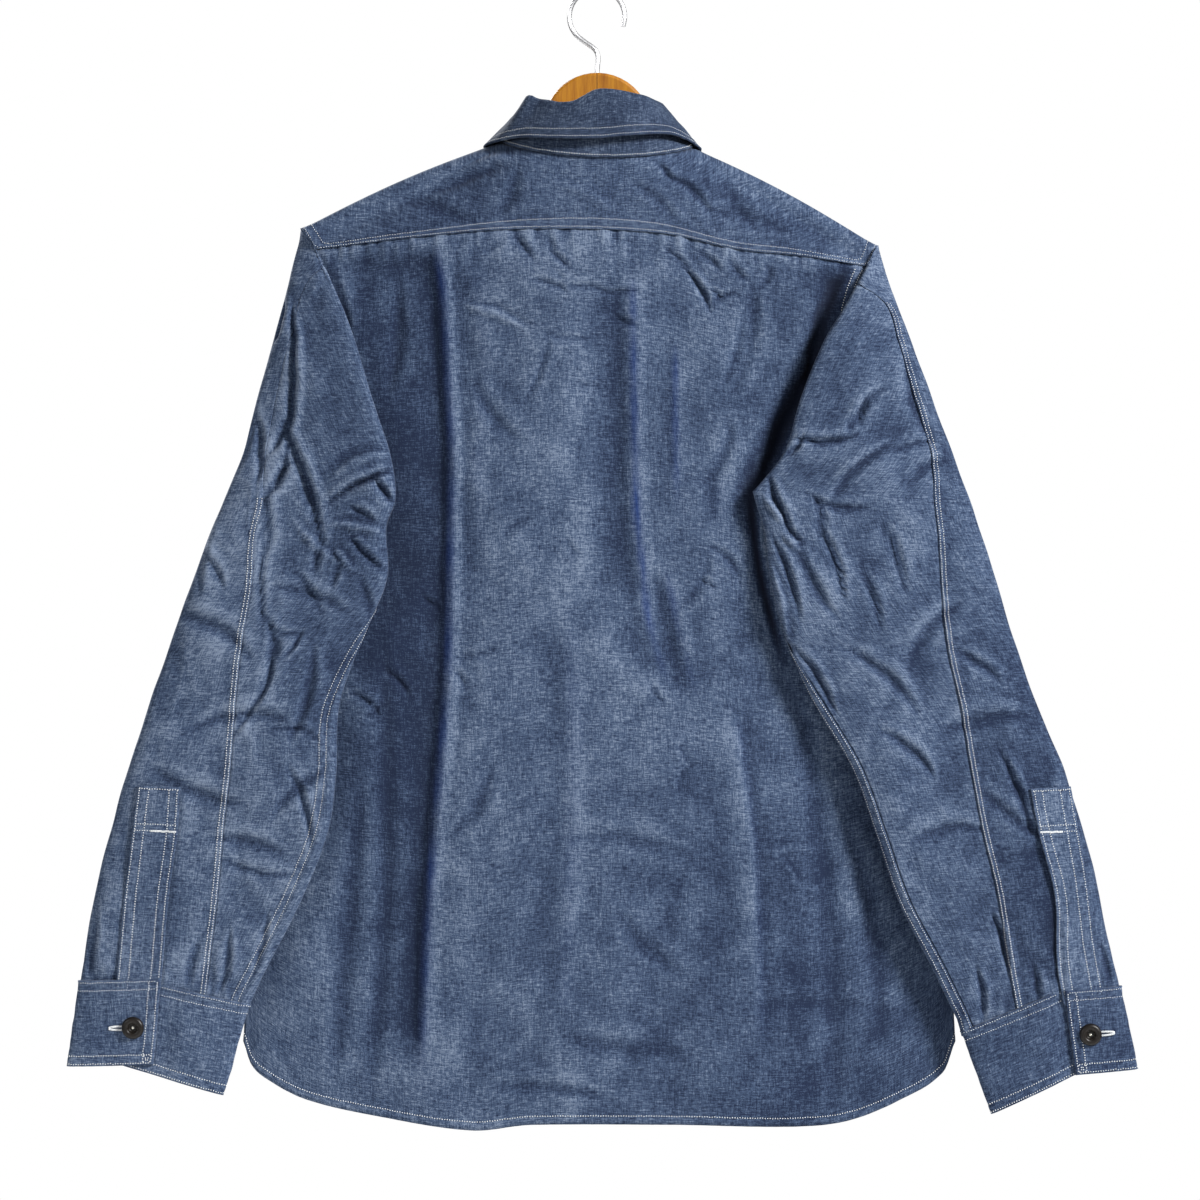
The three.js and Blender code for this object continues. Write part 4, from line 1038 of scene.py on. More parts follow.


# ---- Folds, creases and patches of painted light and shade, placed in the shirt's millimetres ----
# A fold runs through the places x, down: how far the cloth drops beside it, over what width, how
# long it takes to rise again, the blue streak along it and how dark its painted shade is.
BACK_FOLDS = [
    dict(down=[187, 233, 291, 348, 424, 518, 604, 709, 820],
         x=[-121, -115, -112, -109, -110, -112, -119, -127, -131],
         drop=3.4, width=6, rise=95, blue=1.1, streak=3.2, dark=0.5),
    dict(down=[215, 310, 396, 440, 476, 530], x=[28, 29, 31, 36, 40, 56],
         drop=2.2, width=15, rise=40, blue=1.1, streak=2.8, dark=0.3),
    dict(down=[262, 320, 400], x=[60, 60, 61],
         drop=0.9, width=6, rise=24, blue=0.9, streak=2.4, dark=0.1),
    dict(down=[430, 480, 540], x=[52, 62, 78],
         drop=2.0, width=12, rise=30, blue=0.5, streak=3, dark=0.2),
    dict(down=[540, 614, 652, 761, 810], x=[106, 116, 121, 125, 127],
         drop=-1.1, width=4, rise=30, blue=0.1, streak=3, dark=-0.2),
    dict(down=[355, 390, 420], x=[92, 92, 94],
         drop=1.4, width=4, rise=16, blue=0.2, streak=3, dark=0.1),
    dict(down=[470, 600, 780], x=[-20, -16, -24],
         drop=0.9, width=16, rise=40, blue=0.15, streak=5, dark=0.05),
    dict(down=[196, 215, 250, 288, 330, 378, 420], x=[200, 196, 186, 173, 152, 130, 122],
         drop=2.0, width=10, rise=26, blue=0.15, streak=3, dark=2.2),
    dict(down=[200, 280, 380, 460], x=[-92, -84, -88, -80],
         drop=0.8, width=14, rise=30, blue=0.1, streak=4, dark=0.05),
    dict(down=[184, 215, 240, 275, 330], x=[-199, -193, -187, -181, -174],
         drop=1.0, width=5, rise=9, blue=0, streak=2, dark=1.3),
    dict(down=[376, 396, 430, 470, 520], x=[120, 122, 126, 135, 149],
         drop=1.8, width=5, rise=6, blue=0, streak=2, dark=2.7),
]
# Creases, from one place to another. A depth below 0 makes a ridge, and bow bends it sideways.
BACK_CREASES = table("""
    x down to_x to_down width depth bow
    -37 188 -33 200 2.4 1.6 1
    -34 199 -22 213 2.6 1.6 1
    -47 220 -24 229 2.4 1.8 1
    8 231 30 229 2.4 1.4 0
    70 216 85 242 2.6 2.0 1
    84 242 103 230 2.4 1.6 2
    -93 240 -54 257 2.4 -1.6 2
    76 199 92 212 2.6 1.4 1
    -62 188 -48 206 3 1.4 1
    12 250 30 256 3 1.2 1
    -10 264 -40 262 3 1.0 1
    110 250 96 300 4 1.2 2
    49 195 72 213 1.8 1.3 1
    62 208 80 232 1.8 1.4 2
    79 232 95 238 2.0 1.4 5
    -30 212 -26 228 2 1.0 0
    -30 227 10 230 2.2 1.2 3
    -36 268 -53 312 2.0 1.4 2
    -95 241 -62 253 2.4 -1.0 0
    -15 299 2 299 1.8 0.8 0
    -50 398 -70 419 3 0.9 -3
    -22 416 -14 427 2.4 0.9 -2
    75 444 90 452 1.8 1.5 0
    84 420 108 446 3 1.2 4
    -132 456 -116 466 2 1.6 -2
    -110 503 -76 497 2.2 1.3 -2
    -110 513 -98 528 2.0 1.4 3
    41 520 51 538 1.8 1.3 -3
    62 606 70 585 2.2 1.2 3
    70 585 66 564 2.2 1.0 3
    123 650 167 645 2.4 -1.4 0
    135 654 150 675 1.8 -1.2 2
    150 675 168 679 1.8 -1.0 0
    -96 186 -104 196 2.4 1.2 0
    -70 188 -84 200 3 1.2 2
    -60 184 -52 200 2.4 1.0 -2
    4 186 26 192 2.6 1.2 0
    100 204 112 220 2.6 1.3 -2
    130 206 124 226 3 1.3 2
    -184 530 -164 548 2.4 1.7 2
    -176 549 -160 536 2.2 1.5 -2
    -160 514 -142 532 2.6 1.7 2
    -72 826 4 834 5 1.2 2
    110 766 230 772 6 0.5 4
    -20 790 60 800 8 0.8 -3
    -180 620 -196 800 10 1.2 0
    156 560 180 820 12 1.4 6
    -160 520 -170 830 8 0.9 5
    -203 206 -188 268 3.4 3.2 2
    186 214 161 290 8 5.0 -3
    161 290 128 372 9 5.0 -3
    84 430 60 470 4 1.0 5
    100 330 84 372 5 1.2 4
    -90 300 -60 340 6 0.9 -4
    -150 226 -156 300 7 1.2 2
    118 230 104 300 7 1.3 4
    -20 640 60 650 7 0.8 5
    -80 590 -110 640 6 0.9 5
    20 700 60 740 7 0.9 -4
    190 640 214 780 9 1.0 5
""")
YOKE_CREASES = table("""
    x down to_x to_down width depth bow
    -149 163 -73 136 7 1.8 3
    -110 138 -70 128 6 -1.2 2
    44 133 56 144 3 1.6 1
    54 142 84 168 3.4 1.8 3
    86 168 140 182 6 1.2 2
    -40 122 30 124 5 0.8 2
    -150 158 -92 180 6 1.0 3
    -60 140 -72 172 6 0.9 2
    96 140 118 180 7 1.1 -3
    30 150 60 178 5 0.8 2
    150 172 178 196 5 0.8 2
    -30 150 10 168 5 -0.6 3
""")
SLEEVE_CREASES = {
    "left": table("""
    x down to_x to_down width depth bow
    -229 250 -232 338 3.4 3.6 2
    -232 322 -247 352 3.0 2.6 2
    -233 334 -207 410 3.4 4.0 2
    -233 350 -249 384 3.0 2.6 4
    -249 378 -246 424 3.0 2.0 2
    -198 386 -158 366 2.8 4.2 2
    -196 368 -160 352 4.0 -2.2 3
    -180 380 -160 372 3.4 -1.6 0
    -166 372 -154 388 3.4 3.6 0
    -225 402 -196 432 2.6 -2.2 -2
    -184 413 -157 440 2.4 2.8 -2
    -193 434 -198 452 2.4 1.8 0
    -196 404 -160 412 3.4 -1.8 2
    -300 556 -236 548 5 2.0 4
    -240 452 -186 470 4 1.6 4
    -318 470 -262 500 6 1.8 5
    -330 590 -270 614 6 1.4 -4
    -286 640 -238 650 5 1.6 3
    -256 326 -255 368 4 2.2 2
    -247 379 -231 358 2.6 2.4 1
    -195 424 -182 438 2.4 -2.4 0
    -206 414 -211 440 2.6 2.4 0
    -236 232 -242 264 3 2.6 1
    -152 392 -156 430 3 -2.0 1
    -184 392 -168 400 2.6 1.8 1
    -226 440 -206 470 3 1.8 2
    -176 446 -166 480 3 1.8 1
    -250 470 -238 500 3 1.6 1
    -228 590 -214 640 3.4 1.6 2
    -300 420 -280 450 3 1.6 2
    -212 500 -226 560 5 1.8 3
    -284 356 -298 446 5 2.0 -4
    -262 300 -270 360 4 1.6 3
    -247 363 -250 482 2.4 1.8 -2
    -242 486 -250 532 2.2 1.5 2
    -250 530 -273 564 2.4 1.5 0
    -243 481 -222 486 2.2 1.8 -3
    -221 484 -233 504 2.0 1.7 1
    -239 556 -209 563 2.4 1.7 3
    -281 656 -228 668 3.0 1.5 -3
    -248 700 -262 752 3.4 1.6 2
    -276 712 -284 756 3.4 1.6 2
    -300 716 -306 752 3.4 1.6 -1
    -376 700 -384 748 3.4 1.4 1
    -236 480 -256 540 5 1.4 3
    -206 590 -240 620 5 1.4 -3
    """),
    "right": table("""
    x down to_x to_down width depth bow
    139 354 153 340 2.8 3.0 -2
    150 340 192 339 2.8 3.6 -3
    188 337 212 304 4.0 2.6 3
    178 381 218 346 3.6 3.2 3
    164 384 168 412 2.8 2.6 2
    166 406 184 456 2.8 3.0 3
    129 370 147 412 2.8 3.6 -2
    126 384 140 404 3.0 -2.2 0
    140 412 152 424 3.0 -2.0 0
    214 404 230 452 3.2 2.4 2
    160 384 200 392 4 1.6 -4
    236 505 268 466 5 2.0 4
    196 330 201 312 3 3.0 1
    134 420 150 470 3 2.4 2
    132 440 142 500 3 -2.0 2
    200 440 212 480 3 2.2 1
    222 350 250 342 3 1.6 1
    150 500 176 540 3.4 2.0 2
    270 500 300 520 3.4 1.8 2
    216 560 250 590 4 1.8 3
    236 372 262 356 5 1.4 3
    190 500 236 540 5 1.6 4
    262 560 320 548 6 1.6 4
    290 606 344 640 5 1.5 -4
    240 640 286 632 5 1.5 4
    299 700 308 740 2.8 2.8 2
    303 576 326 634 2.8 2.4 2
    328 736 332 770 3.0 2.2 1
    347 700 350 760 3.4 2.4 -1
    286 740 290 780 3.4 1.8 1
    378 722 386 750 3.4 2.0 1
    296 330 312 412 6 1.6 3
    232 284 250 340 5 1.4 -3
    330 470 344 540 6 1.6 3
    150 420 176 470 4 1.6 -3
    """),
}
FRONT_CREASES = table("""
    x down to_x to_down width depth bow
    -120 200 -108 780 12 2.0 8
    110 210 96 790 12 2.0 -8
    -60 230 -48 420 8 1.4 4
    58 260 46 520 8 1.4 -4
    -180 520 -190 800 12 2.0 4
    176 540 186 800 12 2.0 -4
    -150 300 -90 360 6 1.3 4
    140 320 80 380 6 1.3 -4
    -130 560 -70 590 7 1.2 5
    120 600 70 640 7 1.2 -5
    -70 700 -36 770 7 1.3 4
    76 690 40 760 7 1.3 -4
    -190 380 -140 420 6 1.4 3
    186 390 140 430 6 1.4 -3
""")
# Patches of painted light and shade: lighter, or darker where below 0, and how far they reach.
BACK_PAINTED_LIGHT = table("""
    x down wide tall lighter
    -160 430 42 230 -1.1
    130 815 90 40 -0.25
    150 330 90 200 -0.5
    200 780 130 190 -0.6
    60 720 200 120 -0.25
    -10 560 70 130 0.12
    60 300 50 90 0.1
""")
YOKE_PAINTED_LIGHT = table("""
    x down wide tall lighter
    84 150 24 11 -0.5
    120 166 28 13 -0.65
    158 180 28 10 -0.55
    0 150 400 60 -0.22
    -150 172 80 60 -0.6
""")
SLEEVE_PAINTED_LIGHT = {
    "left": table("""
    x down wide tall lighter
    -270 480 60 190 0.25
    -172 430 36 130 -0.5
    -246 240 60 60 -0.3
    -218 520 30 80 -0.7
    """),
    "right": table("""
    x down wide tall lighter
    300 560 70 300 -0.3
    208 380 60 120 -0.3
    352 640 50 230 -0.7
    345 704 6 34 -2.2
    260 300 60 90 -0.25
    """),
}
HIDDEN_CREASES = table("""
    x down to_x to_down width depth bow
    -330 560 -270 600 8 1.8 4
    -300 430 -270 500 8 1.8 -4
    -340 660 -300 730 7 1.5 3
""")
# The hidden sides of the sleeves have the same creases, mirrored.
HIDDEN_CREASES += [dict(c, x=-c["x"], to_x=-c["to_x"], bow=-c["bow"]) for c in HIDDEN_CREASES]

# Rows of stitches, by their distances from a seam's edge.
SIDE_ROWS = (1.8, 7.0)
ARMHOLE_ROWS = (2.8, 8.0)
YOKE_ROWS = (1.8, 8.0)
HEM_ROWS = (6.4, 6.4)  # one row in a deep groove
UNDER = CLOTH + 0.35  # how far the layer below a seam's edge goes in
UNDER_YOKE = 5  # how far the back and fronts go on under the yoke


def finish_piece(sheet, node, slot="cloth", cut=None, flat=None):
    """Builds a piece; its cut, which is its widest across by its longest along, is worked out but
    not used.
    """
    sheet.build(CHAMBRAY[slot], slot, node, flat)
    cut = cut or (float(sheet.u[:, -1].max()), float(sheet.v[-1].max()))
    sheet.area()


def worked(sheet, seed, size, placed):
    """Waves and listed creases over a sheet."""
    return rumple(sheet.x, sheet.down, seed, size) + creases(placed, sheet.x, sheet.down)


# ---- Back ----
def back_surface(across, along):
    """The back, with its columns closer at its sides and its rows at its top."""
    closer = 0.7 * across + 0.15 * (1 - np.cos(PI * across))
    return back_point(closer, along * (0.72 + 0.28 * along), UNDER_YOKE)


def tucked(sheet):
    """How far the top of a sheet goes in under the yoke."""
    return 1.5 * UNDER * smooth((UNDER_YOKE + 2.2 - sheet.top) / 2)


back = Sheet("back_cloth", back_surface, 184, 222, (0, -1, 0))
folded, back.blue, painted_fold_shade = folds(BACK_FOLDS, back.x, back.down)
height = worked(back, 11, 0.75, BACK_CREASES) + folded
height = height * smooth(back.left / 30) * smooth(back.right / 30)
height = held_down(height * smooth((back.top - 3) / 22) * smooth((back.bottom + 10) / 40), 2.2)
gathers = pucker(np.abs(back.top - UNDER_YOKE), back.x, 31, 1.9, 11, 9.5)
height += gathers + pucker(back.bottom, back.x, 33, 0.5, 7, 9)
height += seam_band(back.bottom, HEM_ROWS, 0.35)
beside_arm, beside_front = seam_band(back.side, ARMHOLE_ROWS), seam_band(back.side, SIDE_ROWS, 0.3)
height += np.where(back.down < UNDERARM_DOWN, beside_arm, beside_front)
height -= tucked(back)
# 0.35 of the gathers' height is painted light and shade over them
back.shade = wear_and_crease_shade(height, 0.65) + 0.35 * gathers + painted_fold_shade + painted_light(BACK_PAINTED_LIGHT, back.x, back.down)
back.raise_by(height)
finish_piece(back, "back_panel")

sewn = Threads("back_stitches")
sewn.sew(back.line("bottom", HEM_ROWS[0]), 2)
for edge, start in (("left", 0.15), ("right", 0.02)):
    sewn.rows(back, edge, ARMHOLE_ROWS, 3, start, 0.34)  # below the arm the fronts have the rows
sewn.build()


# ---- Yoke ----
def yoke_surface(across, along):
    return yoke_point(yoke_turn(across), along * 1.014)  # its edge just covers the seam


yoke = Sheet("yoke_cloth", yoke_surface, 230, 40, (0, -1, 0))
on_back = smooth((-yoke.points[..., 1] - 7) / 8)
height = worked(yoke, 21, 0.6, YOKE_CREASES) * on_back
height = height * smooth((yoke.bottom - 6) / 14) * smooth(yoke.top / 14) * smooth(yoke.side / 60)
height += seam_band(yoke.bottom, YOKE_ROWS, 0.5) + 0.5 * smooth((3 - yoke.bottom) / 3)
height += pucker(yoke.bottom, yoke.x, 41, 0.25, 8, 7)
height += seam_band(yoke.side, SIDE_ROWS, 0.4)
height += pucker(yoke.top, yoke.x, 43, 0.55, 9, 8)
yoke.shade = wear_and_crease_shade(height, 0.5) + painted_light(YOKE_PAINTED_LIGHT, yoke.x, yoke.down) * on_back
yoke.raise_by(height)
# Its rows run round the neck, so its weave follows its plan and its cut is its width and depth.
plan = np.stack([yoke.x, yoke.down + 0.9 * yoke.points[..., 1] + 300], -1)
finish_piece(yoke, "back_yoke", cut=(450, 170), flat=plan)

sewn = Threads("yoke_stitches")
FRESH = STITCH["width"]
YOKE_STITCHES = [  # edge, how much further in, start, end, first seed, width
    ("bottom", 0, 0.255, 0.745, 5, WORN), ("bottom", 1, 0, 0.255, 7, WORN),
    ("bottom", 1, 0.745, 1, 9, WORN), ("left", 0, 0, 1, 11, FRESH), ("right", 0, 0, 1, 13, FRESH),
]
for row, inset in enumerate(YOKE_ROWS):
    for edge, further, start, end, seed, width in YOKE_STITCHES:
        sewn.sew(yoke.line(edge, inset + further, start, end), seed + row, width=width)
sewn.build()


# ---- Fronts ----
def make_front(side, end_x, lift, seed):
    """A front from its side seam to end_x, whose front edge is lifted over the other one."""
    def beneath(across):
        return 1 - smooth((across - 0.58) / 0.08)

    def surface(across, along):
        return front_point(side, across, along, end_x, lift, UNDER_YOKE * beneath(across))

    sheet = Sheet("front_%s_cloth" % side, surface, 60, 150, (0, 1, 0))
    height = worked(sheet, seed, 0.9, FRONT_CREASES)
    height = height * smooth(sheet.left / 30) * smooth((sheet.right - 12) / 40)
    height = held_down(height * smooth((sheet.top - 6) / 26), 1.8)
    height += pucker(sheet.bottom, sheet.x, 53, 0.5, 7, 9) * smooth(sheet.right / 40)
    height += seam_band(sheet.bottom, HEM_ROWS, 0.35)
    height -= tucked(sheet) * beneath(sheet.across)
    sheet.shade = wear_and_crease_shade(height)
    sheet.raise_by(height)
    finish_piece(sheet, "front_" + side)
    sewn = Threads("front_%s_stitches" % side)
    sewn.sew(sheet.line("bottom", HEM_ROWS[0]), 21)
    sewn.rows(sheet, "left", ARMHOLE_ROWS, 22)
    if side == "right":
        sewn.sew(sheet.line("right", 3), 24)
    sewn.build()


make_front("right", 1 - FRONT_PLACKET / 2, 0, 61)
make_front("left", FRONT_PLACKET / 2 - 1, 1.9, 51)

PLACKET_ROW = 5
strip = Sheet("placket_cloth", placket_point, 14, 210, (0, 1, 0), 2 * CLOTH)
height = pucker(strip.side, strip.down, 71, 0.22, 6, 8)
strip.raise_by(height - groove(strip.left, PLACKET_ROW, wide=0.8)
               - groove(strip.right, PLACKET_ROW, wide=0.8))
finish_piece(strip, "front_placket")

# ---- Collar ----
STAND_ROW = 1.9
LEAF_ROWS = (2, 7.5)
stand = Sheet("stand_cloth", stand_point, 200, 16, (0, -1, 0), COLLAR_CLOTH)
height = pucker(stand.top, stand.u, 81, 0.25, 8, 7) + 0.25 * noise(stand.u / 22, stand.v / 30, 82)
stand.raise_by(height - groove(stand.top, STAND_ROW))
# painted shadow under the collar leaf
stand.shade -= 0.1
finish_piece(stand, "collar_stand", "collar_cloth")

leaf = Sheet("leaf_cloth", leaf_point, 230, 44, (0, -1, 0), COLLAR_CLOTH)
height = 0.5 * noise(leaf.u / 26, leaf.v / 22, 91) + pucker(leaf.bottom, leaf.u, 92, 0.3, 6, 6)
height -= groove(leaf.bottom, *LEAF_ROWS, deep=0.3)
leaf.raise_by(height * smooth((leaf.along - 0.42) / 0.2))
# the leaf is painted darker all over
leaf.shade -= 0.3
finish_piece(leaf, "collar_leaf", "collar_cloth")

sewn = Threads("collar_stitches")
sewn.sew(stand.line("top", STAND_ROW), 31)
for row, inset in enumerate(LEAF_ROWS):
    sewn.sew(leaf.line("bottom", inset, 0.004, 0.996), 32 + row, width=WORN)
    for edge, seed in (("left", 34), ("right", 36)):
        sewn.sew(leaf.line(edge, inset, 0.42, 0.99), seed + row)
sewn.build("collar_cloth")

# ---- Sleeves ----
BACK_ROWS = (1.0, 3.9)  # the rows of the seam down the back of the sleeve
UNDER_ROWS = (1.3, 6.3)  # and of the seam under the arm
BACK_SHOWS = {"left": 5.9, "right": 2.0}  # the section where the first comes out of its crease
BENEATH = 5.0  # how far the lower layer goes on beneath a seam
PAST = 0.8  # how far the upper layer goes on past it
ROWS_END = 0.995


def angle_of(side, at, angle, distance):
    """The angle that a distance over the sleeve takes up, at a place on it."""
    step = sleeve_point(side, at, angle + 0.03) - sleeve_point(side, at, angle - 0.03)
    return np.minimum(distance * 0.06 / np.maximum(np.linalg.norm(step, axis=-1), 0.3), 0.3)


def sleeve_height(side, sheet, angle):
    """The worn cloth's waves over a sleeve, the same on both its pieces."""
    sideways = np.sin(angle)
    on_face = np.mod(angle, 2 * PI) < PI
    shows = np.where(on_face, smooth(1.9 * np.abs(sideways)), 0)
    hides = np.where(on_face, 0, smooth(1.6 * np.abs(sideways)))
    seed = 101 if side == "left" else 121
    past = np.abs(sheet.x) - np.abs(body_edge(side, sheet.down))
    behind = worked(sheet, seed + 9, 0.9, HIDDEN_CREASES) * hides * smooth(past / 25)
    between = 0.8 * noise(sheet.down / 34, sheet.down / 90, seed + 5) * (1 - shows)
    on_top = worked(sheet, seed, 1.25, SLEEVE_CREASES[side]) * shows
    return on_top + behind + between * smooth((past + 30) / 20)


def make_sleeve(side):
    """The top and under sleeve, whose seam under the arm laps its own way on each side."""
    left = side == "left"
    seed = 141 if left else 161

    def closed_at(at):
        """0 where the seam under the arm is open for the armhole, 1 where it is sewn."""
        return smooth((at - UNDERARM_SECTION - TUCK) / 0.4)

    def top_angles(at):
        under, back = seam_angles(side, at)
        early = under + TIP_ANGLE * smooth(at / TIP_SECTION)
        start = np.where(at < TIP_SECTION, early, back)
        first = start - angle_of(side, at, start, PAST) * smooth((at - TIP_SECTION) / 0.5)
        end = under + 2 * PI
        return first, end + angle_of(side, at, end, BENEATH if left else PAST) * closed_at(at)

    def under_angles(at):
        under, back = seam_angles(side, at)
        before = angle_of(side, at, under, PAST if left else BENEATH)
        return under - before * closed_at(at), back + angle_of(side, at, back, BENEATH)

    def make_piece(name, angles, start, columns, outward):
        """A piece with the waves that both share, and how far its tube is closed at each point."""
        def spot(across, along):
            at = mix(start, LAST, along)
            return at, mix(*angles(at), across * (0.6 + 0.4 * across))

        def surface(across, along):
            at, angle = spot(across, along)
            points = sleeve_point(side, at, angle)
            at_top = 1 - smooth(at / 1.2)
            points[..., 2] -= 2.5 * smooth((at - LAST + 0.3) / 0.3) + 0.3 * at_top
            points[..., 0] -= side_sign(side) * 0.6 * at_top
            return points

        sheet = Sheet("sleeve_%s_%s_cloth" % (name, side), surface, columns, 220, outward)
        at, angle = spot(sheet.across, sheet.along)
        height = sleeve_height(side, sheet, angle) * smooth((sheet.bottom - 4) / 16)
        return sheet, height, closed_at(at), at

    def below(distance):
        return -UNDER * smooth((BENEATH + 1.5 - distance) / 1.5)

    def finish(sheet, height, node):
        height += pucker(sheet.bottom, sheet.x, seed + 1, 1.5, 18, 7)
        sheet.shade = wear_and_crease_shade(height, 0.7) + painted_light(SLEEVE_PAINTED_LIGHT[side], sheet.x, sheet.down)
        sheet.raise_by(height)
        finish_piece(sheet, node + side)

    top, height, closed, at = make_piece("top", top_angles, 0.0, 104, (0, 1, 0))
    height = height * smooth(top.top / 20)
    height += felled(top.left, BACK_ROWS) * smooth((at - BACK_SHOWS[side] + 0.8) / 0.8)
    height += pucker(top.left, top.down, seed, 0.35, 6, 7)
    height += (below(top.right) if left else felled(top.right, UNDER_ROWS)) * closed
    finish(top, height, "sleeve_top_")

    under, height, closed, _ = make_piece("under", under_angles, TIP_SECTION, 100, (0, -1, 0))
    height += below(under.right)
    gathered = pucker(under.right - BENEATH, under.down, seed, 0.35, 6, 7)
    height += gathered * (under.right > BENEATH)
    height += (felled(under.left, UNDER_ROWS) if left else below(under.left)) * closed
    finish(under, height, "sleeve_under_")

    sewn = Threads("sleeve_stitches_" + side)
    sewn.rows(top, "left", BACK_ROWS, seed, BACK_SHOWS[side] / LAST, ROWS_END)
    over, edge, first = (under, "left", TIP_SECTION) if left else (top, "right", 0)
    begin = (UNDERARM_SECTION + 0.7 - first) / (LAST - first)
    sewn.rows(over, edge, UNDER_ROWS, seed + 2, begin, ROWS_END, width=WORN)
    sewn.build()


for side in SIDES:
    make_sleeve(side)

# ---- Sleeve plackets ----
STRIP = dict(thickness=1.0, off=1.9, top_row=2, bars=(28.5, 33.5), bar_width=0.7)
SEWN_ROWS = (1.6, 8.7)  # from the edge that is sewn down
FREE_ROWS = (8.4, 2.4)  # and from the one that opens
TACK = dict(pitch=1.3, length=1.9, width=0.8, wander=0.2)
TACK_DRIFT = 0.35  # its two rows' distance from the lower bar


def make_sleeve_placket(side):
    left = side == "left"
    shape = PLACKETS[side]

    def surface(across, along):
        at = mix(shape["start"], LAST, along)
        low = np.arccos(2 * mix(shape["top_out"], shape["cuff_out"], along) - 1)
        pinched = shape["pinch"] * bell((along - 0.5) / 0.24)
        high = np.arccos(2 * (mix(shape["top_in"], shape["cuff_in"], along) - pinched) - 1)
        return sleeve_point(side, at, mix(low, high, across if left else 1 - across))

    name = "sleeve_placket_%s_cloth" % side
    sheet = Sheet(name, surface, 30, 130, (0, -1, 0), STRIP["thickness"])
    sleeve = sleeve_height(side, sheet, np.full(sheet.x.shape, PI / 2))
    sleeve = sleeve * smooth((sheet.bottom - 4) / 16)
    sleeve += pucker(sheet.bottom, sheet.x, 141 if left else 161, 0.5, 14, 7)
    outer, inner = SIDES if left else SIDES[::-1]
    fixed, free = getattr(sheet, outer), getattr(sheet, inner)
    height = 0.35 * sleeve + CLOTH / 2 + STRIP["off"]
    height += 0.3 * smooth((sheet.top - 36) / 10) * smooth((12 - free) / 8)
    height -= groove(fixed, *SEWN_ROWS) + groove(free, *FREE_ROWS)
    height += 0.25 * noise(sheet.u / 9, sheet.v / 7, 171) - groove(sheet.top, STRIP["top_row"])
    sheet.raise_by(height)
    finish_piece(sheet, "sleeve_placket_" + side)

    sewn = Threads("sleeve_placket_stitches_" + side)
    sewn.sew(sheet.line("top", STRIP["top_row"], 0.02, 0.98), 41)
    for edge, insets in ((outer, SEWN_ROWS), (inner, FREE_ROWS)):
        for inset in insets:
            start = 0.005 if inset == SEWN_ROWS[0] else 0.01
            sewn.sew(sheet.line(edge, inset, start, 0.99), 42 + int(inset))
    for inset in STRIP["bars"]:
        sewn.sew(sheet.line("top", inset, 0.03, 0.97), 47, width=STRIP["bar_width"])
    half = (0.45, 0.97) if left else (0.03, 0.5)
    for drift in (-TACK_DRIFT, TACK_DRIFT):
        sewn.sew(sheet.line("top", STRIP["bars"][1] + drift, *half), 48, **TACK)
    sewn.build()


for side in SIDES:
    make_sleeve_placket(side)

# ---- Cuffs ----
CUFF_ROWS = (1.6, 7.8)
CUFF_END_ROWS = (2.3, 8.6)
CUFF_UP = 0.035  # how much of its depth a cuff goes on over the sleeve


def make_cuff(side):
    def surface(across, along):
        return cuff_point(side, across, mix(-CUFF_UP, 1, along))

    sheet = Sheet("cuff_%s_cloth" % side, surface, 190, 36, (0, 1, 0), LINED)
    height = 0.45 * noise(sheet.u / 24, sheet.v / 20, 181)
    height += 0.2 * noise(sheet.u / 9, sheet.v / 8, 182)
    for distance in (sheet.top, sheet.bottom):
        height += pucker(distance, sheet.u, 183, 0.25, 5, 6) - groove(distance, *CUFF_ROWS)
    height -= groove(sheet.left, *CUFF_END_ROWS)
    height = height * smooth(sheet.right / 30)
    height += 0.9 * smooth((5 - sheet.top) / 5) * smooth((sheet.right - CUFF["underlap"]) / 6)
    # painted shade darkens the right cuff
    sheet.shade -= 0.5 * (side == "right")
    sheet.raise_by(height)
    finish_piece(sheet, "cuff_" + side)

    sewn = Threads("cuff_stitches_" + side)
    for row, inset in enumerate(CUFF_ROWS):
        sewn.sew(sheet.line("top", inset, 0.008, 0.985), 51 + row, width=WORN)
        sewn.sew(sheet.line("bottom", inset, 0.008, 0.985), 53 + row)
    sewn.rows(sheet, "left", CUFF_END_ROWS, 55, 0.03, 0.97)
    far, near = (float(sheet.v[-1, 2]) - row for row in CUFF_ROWS)  # the crossed box at its corner
    for seed, ends in ((57, CUFF_END_ROWS), (58, CUFF_END_ROWS[::-1])):
        sewn.sew(sheet.path((ends[0], near), (ends[1], far)), seed)
    sewn.build()
    return sheet


cuffs = {side: make_cuff(side) for side in SIDES}

# ---- Buttons ----
BUTTON_PROFILE = [  # radius and height, from the middle of its dish over its rim to its underside
    (0, 0.35), (1.25, 0.35), (1.6, 0.25), (2.4, 0.3), (2.9, 0.75), (3.4, 1.9), (4.0, 2.85),
    (4.9, 3.3), (5.9, 3.4), (6.9, 3.15), (7.7, 2.55), (8.2, 1.75), (8.4, 1.0), (8.3, 0.4),
    (7.9, 0.05), (6, 0), (0, 0),
]
AXIS = 0.01  # the radius of a profile's ends, just off its axis
SHANK_PROFILE = [(AXIS, 0.95), (0.7, 0.9), (1.1, 0.65), (1.25, 0.3), (1.25, 0.1), (AXIS, 0.1)]
BUTTONHOLE = dict(length=19, cuff_width=2.7, front_width=2.4, stitch=1.9, width=0.8, pitch=0.62)


def spin(profile, segments):
    """Points and four-sided faces of a profile of (radius, height) spun about its axis."""
    angles = np.arange(segments) * 2 * PI / segments
    rings = [np.stack([r * np.cos(angles), r * np.sin(angles), 0 * angles + h], -1)
             for r, h in profile]
    index = np.arange(len(profile) * segments).reshape(len(profile), segments)
    after = np.roll(index, -1, axis=1)
    quad = (index[:-1], index[1:], after[1:], after[:-1])
    faces = np.stack([corner.ravel() for corner in quad], 1)
    return np.concatenate(rings), faces[:, ::-1]


